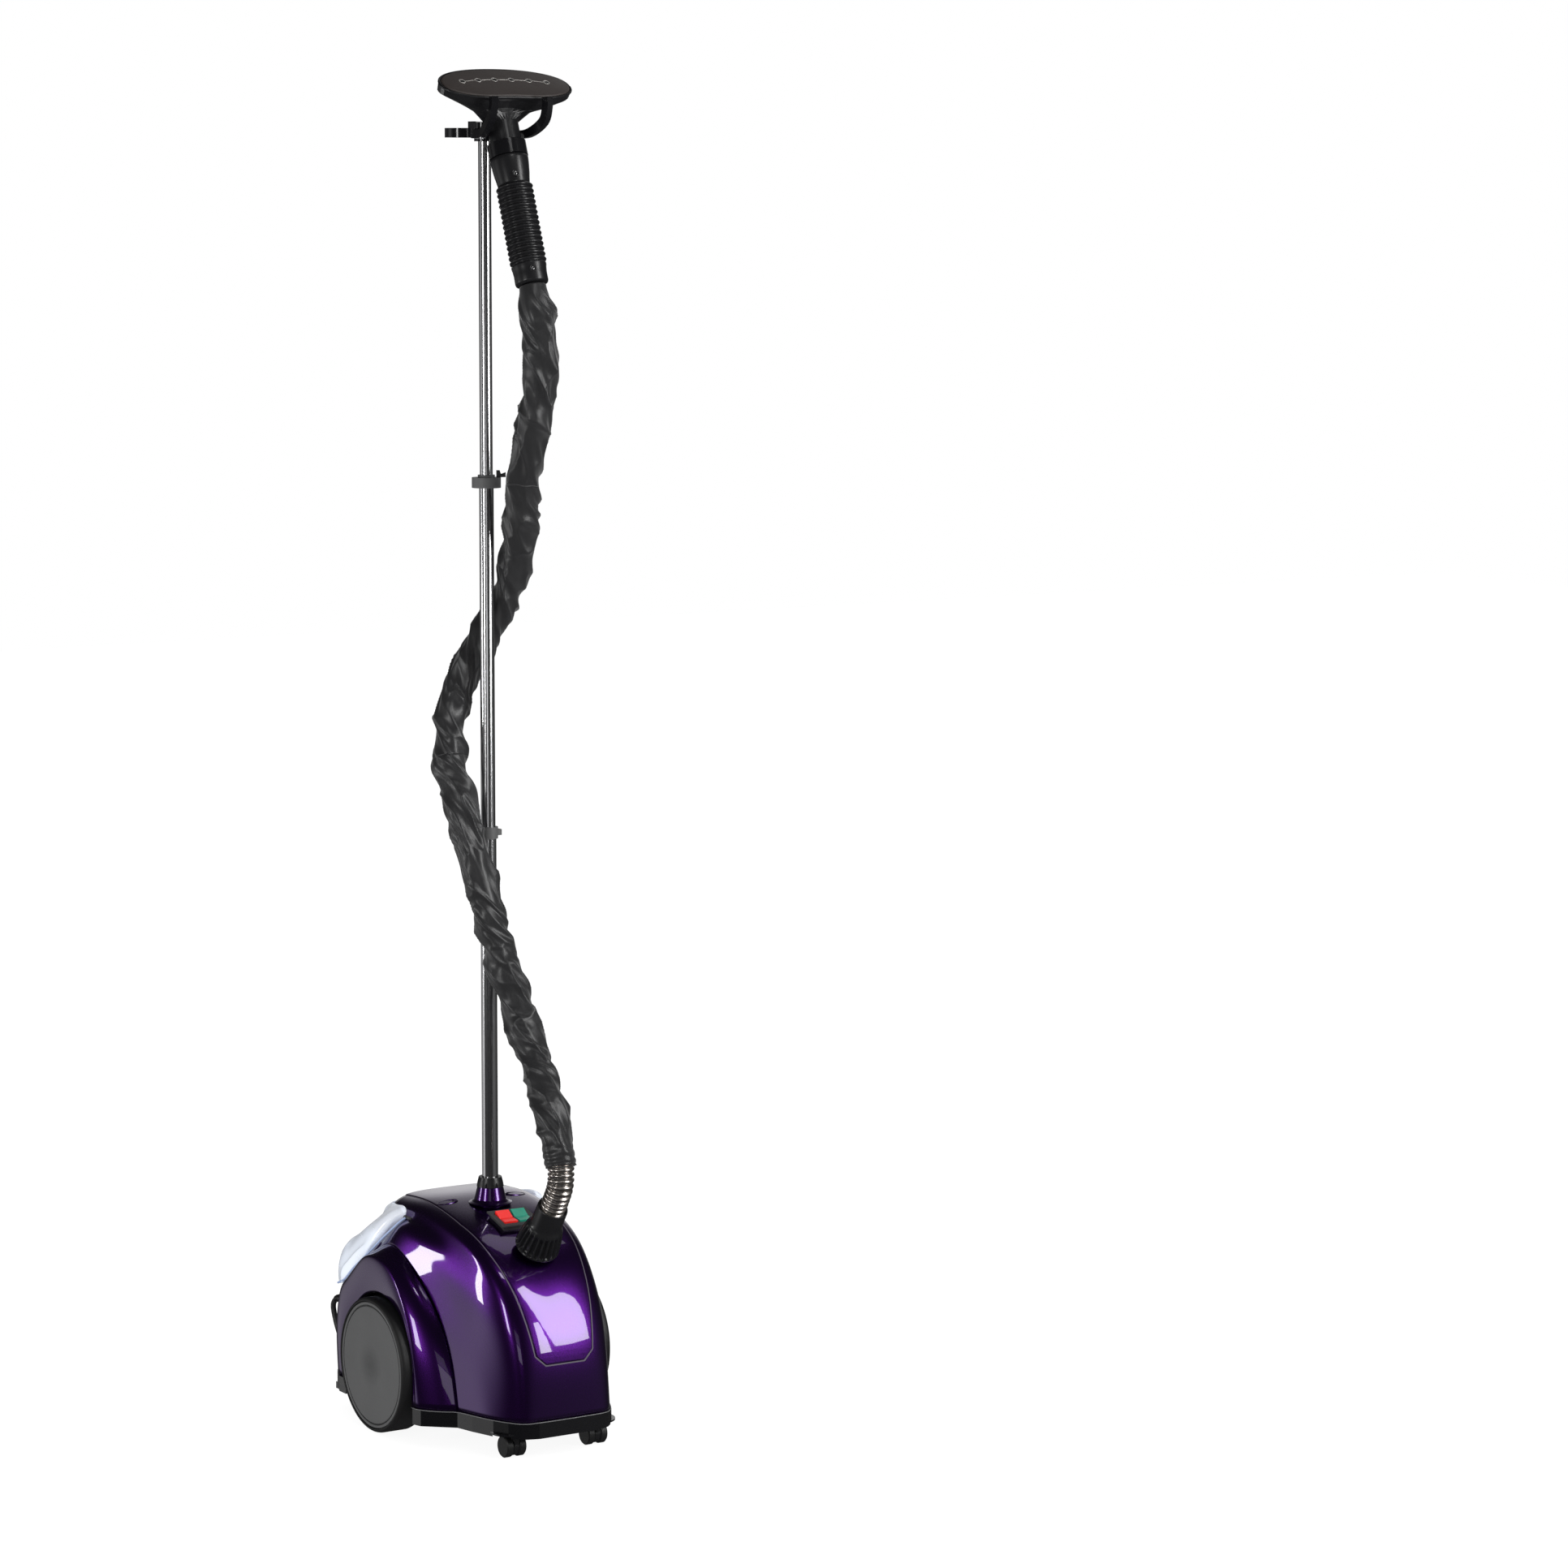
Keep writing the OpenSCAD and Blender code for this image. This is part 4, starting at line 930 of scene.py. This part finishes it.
def panel_grid(grow, rows=110, cols=60):
    """Points under the raised centre panel; grow widens its outline."""
    middle = FRONT[:, FRONT.shape[1] // 2]
    along = np.concatenate([[0], np.cumsum(np.linalg.norm(np.diff(middle, axis=0), axis=1))])
    start = np.interp(110 - grow, middle[:, 2], along)
    width = ((0, 25), (12.4, 38), (42, 42), (70, 46), (100, 50), (150, 57), (215, 62), (400, 62))
    out = []
    for k, s in enumerate(np.concatenate([np.linspace(0, 14, 14), np.linspace(15, along[-1] - start, rows - 14)])):
        row = np.interp(start + s, along, np.arange(len(middle)))
        half = np.interp(s, [w[0] for w in width], [w[1] for w in width]) + grow
        out.append([on_cover(row, x) for x in np.linspace(-half, half, cols)])
    return np.array(out)


def grid_normals(g):
    """Directions square to a grid, pointing out of the machine."""
    n = np.cross(np.gradient(g, axis=1), np.gradient(g, axis=0))
    n /= np.linalg.norm(n, axis=2)[:, :, None]
    return n if n[0, g.shape[1] // 2, 1] < 0 else -n


def raised(g, height, edge):
    """The grid lifted off the cover, with its border rolled down into it."""
    rows, cols = g.shape[:2]
    side = np.linalg.norm(g - g[:, :1], axis=2)
    side = np.minimum(side, side[:, ::-1])
    foot = np.linalg.norm(g - g[:1], axis=2)
    near = np.clip(np.minimum(side, foot) / edge, 0, 1)
    lift = -0.7 + (height + 0.7) * np.sqrt(1 - (1 - near) ** 2)
    return g + grid_normals(g) * lift[:, :, None]


def make_panel():
    """The raised centre panel and the seam round it, whose pale grey also paints the highlight along the panel's edge.
    """
    g = panel_grid(0.0)
    warp = np.linspace(-1, 1, g.shape[1])
    warp = np.sign(warp) * (1 - (1 - np.abs(warp)) ** 1.7)
    g = np.array([[[np.interp(w, np.linspace(-1, 1, g.shape[1]), line[:, k]) for k in range(3)] for w in warp]
                  for line in g])
    outward(piece("raised_panel", "base", *opened(raised(g, 0.85, 1.6)), PURPLE, "purple_gloss", ("centre_panel",)))
    # The seam strip is pale grey: a real seam that also carries a painted highlight along the panel's edge.
    seam = panel_grid(1.1)
    outward(piece("panel_seam", "base", *opened(seam + grid_normals(seam) * 0.12), SEAM_AND_HIGHLIGHT_GREY, "purple_gloss"))


def make_recesses():
    """Two long dark sockets on the crown beside the pole."""
    for name, x in (("left", -46), ("right", 46)):
        top = on_cover(len(FRONT) * 6.38 / 8, x)
        tilt = math.radians(4)
        a = np.linspace(0, 2 * np.pi, 48, endpoint=False)
        rings = []
        for grow, h in ((2.0, -0.3), (1.9, 0.9), (1.2, 1.5), (0.4, 1.3), (0.0, 0.4), (-0.2, -3.2)):
            rings.append(np.stack([(12.0 + grow) * np.cos(a), (5.0 + grow) * np.sin(a), np.full(48, h)], 1))
        place = Matrix.Translation(Vector(top)) @ Matrix.Rotation(tilt, 4, "X") @ Matrix.Rotation(
            math.radians(-20 if x < 0 else 20) * 0.3, 4, "Y")
        rim = np.array(rings)
        piece(f"crown_socket_rim_{name}", "base", rim.reshape(-1, 3), grid_faces(6, 48, wrap=True), PURPLE,
              "purple_gloss", (), place)
        floor = np.stack([11.8 * np.cos(a), 4.8 * np.sin(a), np.full(48, 0.5)], 1)
        piece(f"crown_socket_floor_{name}", "base", floor, [tuple(range(48))], SATIN_BLACK, "black_plastic", (), place)


def make_joint_highlight():
    """A pale line along the joint where the covers stand on the tray: a painted highlight of the tray's top edge."""
    pod = side_surface()[0][:36]
    line = np.concatenate([pod[::-3], FRONT[0][2:-2:3], (pod * (-1, 1, 1))[::3]])
    line, _ = evenly(line * (1.006, 1.006, 1) + (0, 0, 0.2), 2.0)
    piece("tray_joint_highlight", "base", *closed_tube(sweep_rings(line, 0.55, 8, (0, 0, 1))), JOINT_HIGHLIGHT_GREY, "tray_plastic")


# Pale grey for the line on the tray joint: it paints the highlight along the tray's top edge.
JOINT_HIGHLIGHT_GREY = plastic("painted_highlight_grey", (0.11, 0.11, 0.115), (0.15, 0.15, 0.155), 500, 0.25, 0.35, 0.0)
make_covers()
make_joint_highlight()
make_panel()
make_recesses()


# ---------------------------------------------------------------- water tank
TANK = {
    60: ((105, 254), (112, 257), (124, 252), (133, 236), (155, 222), (174, 208), (185, 190), (187, 165),
         (182, 152), (160, 150), (130, 170), (106, 200)),
    78: ((100, 256), (107, 256), (118, 249), (128, 236), (152, 221), (172, 207), (184, 190), (186, 165),
         (181, 152), (160, 152), (128, 176), (101, 215)),
    88: ((44, 258), (52, 264), (84, 258), (112, 241), (148, 218), (170, 206), (183, 190), (185, 165),
         (181, 152), (160, 156), (84, 222), (46, 250)),
    100: ((50, 252), (58, 258), (80, 249), (110, 235), (146, 214), (168, 203), (180, 188), (183, 165),
          (179, 152), (160, 160), (110, 205), (56, 243)),
    110: ((62, 236), (70, 244), (90, 238), (112, 227), (142, 208), (162, 198), (174, 184), (177, 164),
          (173, 153), (150, 158), (110, 186), (67, 226)),
    118: ((72, 222), (80, 229), (97, 224), (115, 214), (137, 199), (152, 190), (163, 178), (166, 163),
          (162, 153), (146, 158), (110, 184), (76, 214)),
    122: ((80, 211), (86, 216), (100, 209), (114, 200), (130, 188), (141, 180), (150, 171), (152, 162),
          (149, 155), (138, 163), (108, 186), (82, 206)),
}


def tank_section(x):
    """Outline of the tank at a sideways place, between the nearest sections given."""
    xs = sorted(TANK)
    a = abs(x)
    low = max([q for q in xs if q <= a], default=xs[0])
    high = min([q for q in xs if q >= a], default=xs[-1])
    t = 0 if high == low else (a - low) / (high - low)
    t = t * t * (3 - 2 * t) if low == 78 else t
    s = (1 - t) * np.array(TANK[low], float) + t * np.array(TANK[high], float)
    loop = through(np.concatenate([s[-2:], s, s[:2]]), 5)[10:-11]
    return np.stack([np.full(len(loop), x), loop[:, 0], loop[:, 1]], 1)


def make_tank():
    """The tank's shell, the well that hangs into the bay, its edge beads and its latches."""
    half = [0, 20, 40, 60, 70, 78, 80, 82, 84, 86, 88, 92, 96, 100, 105, 110, 114, 118, 120, 122]
    xs = [-x for x in reversed(half[1:])] + half
    rings = [tank_section(x) for x in xs]
    for side, ring in ((-1, rings[0]), (1, rings[-1])):
        mid = ring.mean(0)
        for f, dx in ((0.94, 1.0), (0.8, 1.8)):
            cap = mid + (ring - mid) * f + np.array((side * dx, 0, 0))
            rings = [cap, *rings] if side < 0 else [*rings, cap]
    verts, faces = closed_tube(np.array(rings))
    tank = outward(piece("tank_shell", "tank", verts, faces, CLEAR, "clear_plastic", ("water_tank",)), (0, 140, 200))
    m = tank.modifiers.new("round", "SUBSURF")
    m.levels = m.render_levels = 1
    box = []
    for z, g in ((203, 0), (199, 0), (106, 0), (102, 1.4), (101, 4)):
        box.append([(x * (86 - g) / 86, 136 + (y - 136) * (27 - g) / 27, z) for x, y in (
            (-86, 112), (-83, 109), (83, 109), (86, 112), (86, 160), (83, 163), (-83, 163), (-86, 160))])
    piece("tank_well", "tank", *closed_tube(np.array(box, float)), CLEAR, "clear_plastic", smooth=False)
    for name, sign in (("left", 1), ("right", -1)):
        line = through(np.array([(-90 * sign, 45, 251), (-97 * sign, 49, 245), (-110 * sign, 64, 226),
                                 (-120 * sign, 78, 208), (-123.4 * sign, 112, 183), (-123.4 * sign, 138, 163),
                                 (-119 * sign, 164, 153)]), 8)
        piece(f"tank_bead_{name}", "tank", *closed_tube(sweep_rings(line, 1.3, 10)), BEAD, "clear_plastic")
        bump = Matrix.Translation((-88 * sign, 38, 251.5)) @ Matrix.Rotation(math.radians(25 * sign), 4, "Y")
        for k, off in enumerate((0, 9)):
            lathe(f"tank_latch_{name}_{k + 1}", "base", [(0, -2), (3.2, -2), (3.2, 0.6), (2.4, 1.6), (0, 1.8)],
                  BEZEL_GREY, bump @ Matrix.Translation((0, off, 0)), "black_plastic", turns=24)


BEAD = plastic("bead_blue", (0.36, 0.46, 0.72), (0.44, 0.54, 0.80), 500, 0.2, 0.3, 0.0)
make_tank()


# ---------------------------------------------------------------- wheels
def wheel(name, sign):
    """A large rear wheel: tyre, dished disc, and the dark line in the disc's groove."""
    place = Matrix.Translation((sign * WHEEL_OUT, AXLE_Y, AXLE_Z)) @ Matrix.Rotation(math.radians(90 * sign), 4, "Y")
    body = f"wheel_{name}"
    tyre = [(60, -38), (77.5, -38), (79.6, -36.6), (80.5, -34), (80.5, -5), (79.9, -2.6), (78.4, -1.0), (76.6, -0.5),
            (75.6, -0.9), (75.2, -2.4), (60, -2.4)]
    lathe(f"tyre_{name}", body, tyre, TYRE, place, "tyre_rubber", (f"wheel_tyre_{name}",), 160, soft=1.0)
    disc = [(0, 0.4), (30, 0.2), (56, -0.5), (68.5, -1.3), (69.6, -1.5), (70.0, -2.7), (71.2, -2.7), (71.6, -1.4),
            (74.2, -1.2), (74.9, -1.8), (75.0, -6), (40, -6), (0, -6)]
    lathe(f"disc_{name}", body, disc, DISC_GREY, place, "satin_grey", (f"wheel_disc_{name}",), 160, soft=0.35)
    ring = [(69.9, -2.4), (69.9, -2.1), (71.3, -2.1), (71.3, -2.4)]
    verts = lathe_rings(ring, 160)
    piece(f"disc_line_{name}", body, verts.reshape(-1, 3), grid_faces(4, 160, wrap=True), GLOSS_BLACK, "black_gloss",
          (), place)


wheel("left", -1)
wheel("right", 1)


# ---------------------------------------------------------------- union nut
def nut_wave(radius, height, a):
    """Grooves between the ribs of the nut, fading out towards its top."""
    if not 6.5 < height < 37 or radius < 17:
        return np.full(len(a), radius)
    depth = 4.2 * min(1.0, (height - 6.5) / 2.0) * min(1.0, (37 - height) / 6.0)
    rib = np.abs(np.sin(a * 11))
    return radius - depth * np.clip((rib - 0.40) / 0.16, 0, 1)


NUT_LINE = [(14.6, 4.6), (25.2, 4.6), (26.3, 5.2), (26.6, 6.5), (26.3, 7.6), (26.2, 9.5), (26.0, 13), (25.4, 18),
            (24.6, 24), (23.6, 30), (22.6, 34), (22.0, 37), (20.4, 40), (19.0, 42.5), (18.6, 46), (18.2, 69),
            (17.8, 70.5), (17.0, 71), (16.4, 70.6), (16.2, 62), (14.6, 50)]
lathe("nut", "union_nut", NUT_LINE, GRIP_BLACK, SPIGOT, "black_plastic", ("hose_nut",), 288, nut_wave, soft=0)


# ---------------------------------------------------------------- grip
def grip_line():
    """Outline of the grip, with its row of round ribs."""
    line = [(0, -200), (14.8, -200.2), (16.8, -200), (18.6, -199), (19.2, -197), (19.1, -188), (19.6, -182),
            (20.3, -178.5), (20.2, -177), (18.6, -176.2)]
    ribs, low, high = 15, -175.6, -81.0
    pitch = (high - low) / ribs
    for k in range(ribs):
        z = low + k * pitch
        for f, r in ((0.05, 18.2), (0.2, 19.4), (0.34, 20.9), (0.5, 21.4), (0.66, 20.9), (0.8, 19.4), (0.95, 18.2)):
            line.append((r, z + f * pitch))
    return line + [(18.6, -79.6), (19.4, -74), (20.4, -68), (21.5, -58), (22.0, -52), (22.0, -48.4), (21.2, -47.6),
                   (0, -47.4)]


lathe("grip_bellows", "hand_set", grip_line(), GRIP_BLACK, HAND, "black_plastic", ("grip",), 96, soft=0)


# ---------------------------------------------------------------- steam plate
def bean(grow=0.0, steps=144):
    """Outline of the plate, seen from the front: a full arc on top, nearly straight below."""
    out = []
    for t in np.linspace(0, 2 * math.pi, steps, endpoint=False):
        c, d = math.cos(t), math.sin(t)
        x = 82.0 * np.sign(c) * abs(c) ** 0.92
        if d >= 0:
            y = 33.0 * d**0.86
        else:
            y = -29.0 * (-d) ** 0.80 + 4.5 * math.exp(-((x / 34.0) ** 2))
        out.append((x * (1 + grow / 82), y * (1 + grow / 32)))
    return np.array(out)


def plate_layer(name, layers, material, slot, replaced=()):
    """A solid in the shape of the plate from (grow, height) layers."""
    rings = [np.column_stack([bean(grow), np.full(144, h)]) for grow, h in layers]
    verts, faces = closed_tube(np.array(rings))
    return piece(name, "hand_set", verts, faces, material, slot, replaced, PLATE)


def make_plate():
    """The coated plate, its rim, the steam holes and the line that joins them."""
    face = [(-2.0, -2.0), (0.0, -1.6), (0.0, 0.6), (-0.3, 1.5), (-1.1, 2.2), (-2.4, 2.5), (-30, 2.6)]
    plate_layer("plate_face", face, PLATE_COAT, "steam_plate", ("steam_plate",))
    plate_layer("plate_rim", [(-26, -16.5), (-12, -12.5), (-3.0, -7.0), (1.8, -3.0), (3.0, -1.0), (3.0, 0.4),
                              (2.4, 1.1), (1.2, 1.1), (0.6, 0.4), (0.4, -1.4)], GRIP_BLACK, "black_plastic")
    rings, wells = [], []
    a = np.linspace(0, 2 * np.pi, 32, endpoint=False)
    centres = [(x, 9.0 - 0.0016 * x * x) for x in (-55, -33, -11, 11, 33, 55)]
    for x, y in centres:
        prof = ((2.8, 2.45), (3.0, 2.9), (3.5, 3.05), (4.0, 2.9), (4.2, 2.45))
        rings.append([np.stack([x + r * np.cos(a), y + r * np.sin(a), np.full(32, h)], 1) for r, h in prof])
        wells.append(np.stack([x + 2.9 * np.cos(a), y + 2.9 * np.sin(a), np.full(32, 2.66)], 1))
    verts, faces = [], []
    for k, group in enumerate(rings):
        verts.append(np.array(group).reshape(-1, 3))
        faces += grid_faces(5, 32, wrap=True, start=k * 160)
    piece("steam_hole_rims", "hand_set", np.concatenate(verts), faces, RIM_GREY, "bright_steel", (), PLATE)
    piece("steam_hole_wells", "hand_set", np.concatenate(wells), [tuple(range(k * 32, k * 32 + 32)) for k in range(6)],
          SATIN_BLACK, "black_plastic", (), PLATE)
    verts, faces = [], []
    for k, ((x0, y0), (x1, y1)) in enumerate(zip(centres, centres[1:])):
        way = np.linspace((x0 + 4.1, y0, 2.62), (x1 - 4.1, y1, 2.62), 14)
        tube_verts, tube_faces = closed_tube(sweep_rings(way, 0.38, 8, (0, 1, 0)))
        faces += [tuple(i + k * len(tube_verts) for i in f) for f in tube_faces]
        verts.append(tube_verts)
    piece("plate_arc_line", "hand_set", np.concatenate(verts), faces, RIM_GREY, "bright_steel", (), PLATE)


RIM_GREY = plastic("rim_grey", (0.42, 0.40, 0.38), (0.52, 0.50, 0.48), 600, 0.3, 0.4, 0.0, Metallic=0.6)
make_plate()


# ---------------------------------------------------------------- grip screws
def make_screws():
    """Two small screws in dark wells, turned towards the left front of the grip."""
    for k, (z, r) in enumerate(((-72.0, 20.2), (-186.0, 19.3))):
        turn = HAND @ Matrix.Rotation(math.radians(-18), 4, "Z") @ Matrix.Translation((0, 0, z)) @ Matrix.Rotation(
            math.radians(90), 4, "X")
        well = [(0, r - 0.6), (2.6, r - 0.5), (3.3, r + 0.3), (3.9, r + 0.3), (4.3, r - 1.2)]
        lathe(f"grip_screw_well_{k + 1}", "hand_set", well, SATIN_BLACK, turn, "black_plastic", turns=32)
        lathe(f"grip_screw_{k + 1}", "hand_set", [(0, r + 0.15), (1.6, r + 0.1), (2.2, r - 0.6)], CHROME, turn,
              "bright_steel", turns=24)


make_screws()


# ---------------------------------------------------------------- pole tubes
def tube(name, body, node, radius, bottom, top):
    """A drawn steel tube with rounded rims, open at both ends."""
    line = [(radius - 0.9, bottom), (radius - 0.3, bottom), (radius, bottom + 0.4)]
    line += [(radius, z) for z in np.linspace(bottom + 8, top - 8, 12)]
    line += [(radius, top - 0.5), (radius - 0.3, top), (radius - 0.9, top), (radius - 0.9, bottom)]
    return piece(name, body, lathe_rings(line, 96).reshape(-1, 3), grid_faces(len(line), 96, wrap=True), CHROME,
                 "bright_steel", (node,))


TUBES = (("tube_lower", "base", 9.5), ("tube_middle", "pole_middle", 8.5), ("tube_top", "pole_top", 7.5))
for name, body, radius in TUBES:
    low, high = (mm(p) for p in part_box(name))
    tube(f"polished_{name}", body, name, radius, low[2], high[2])
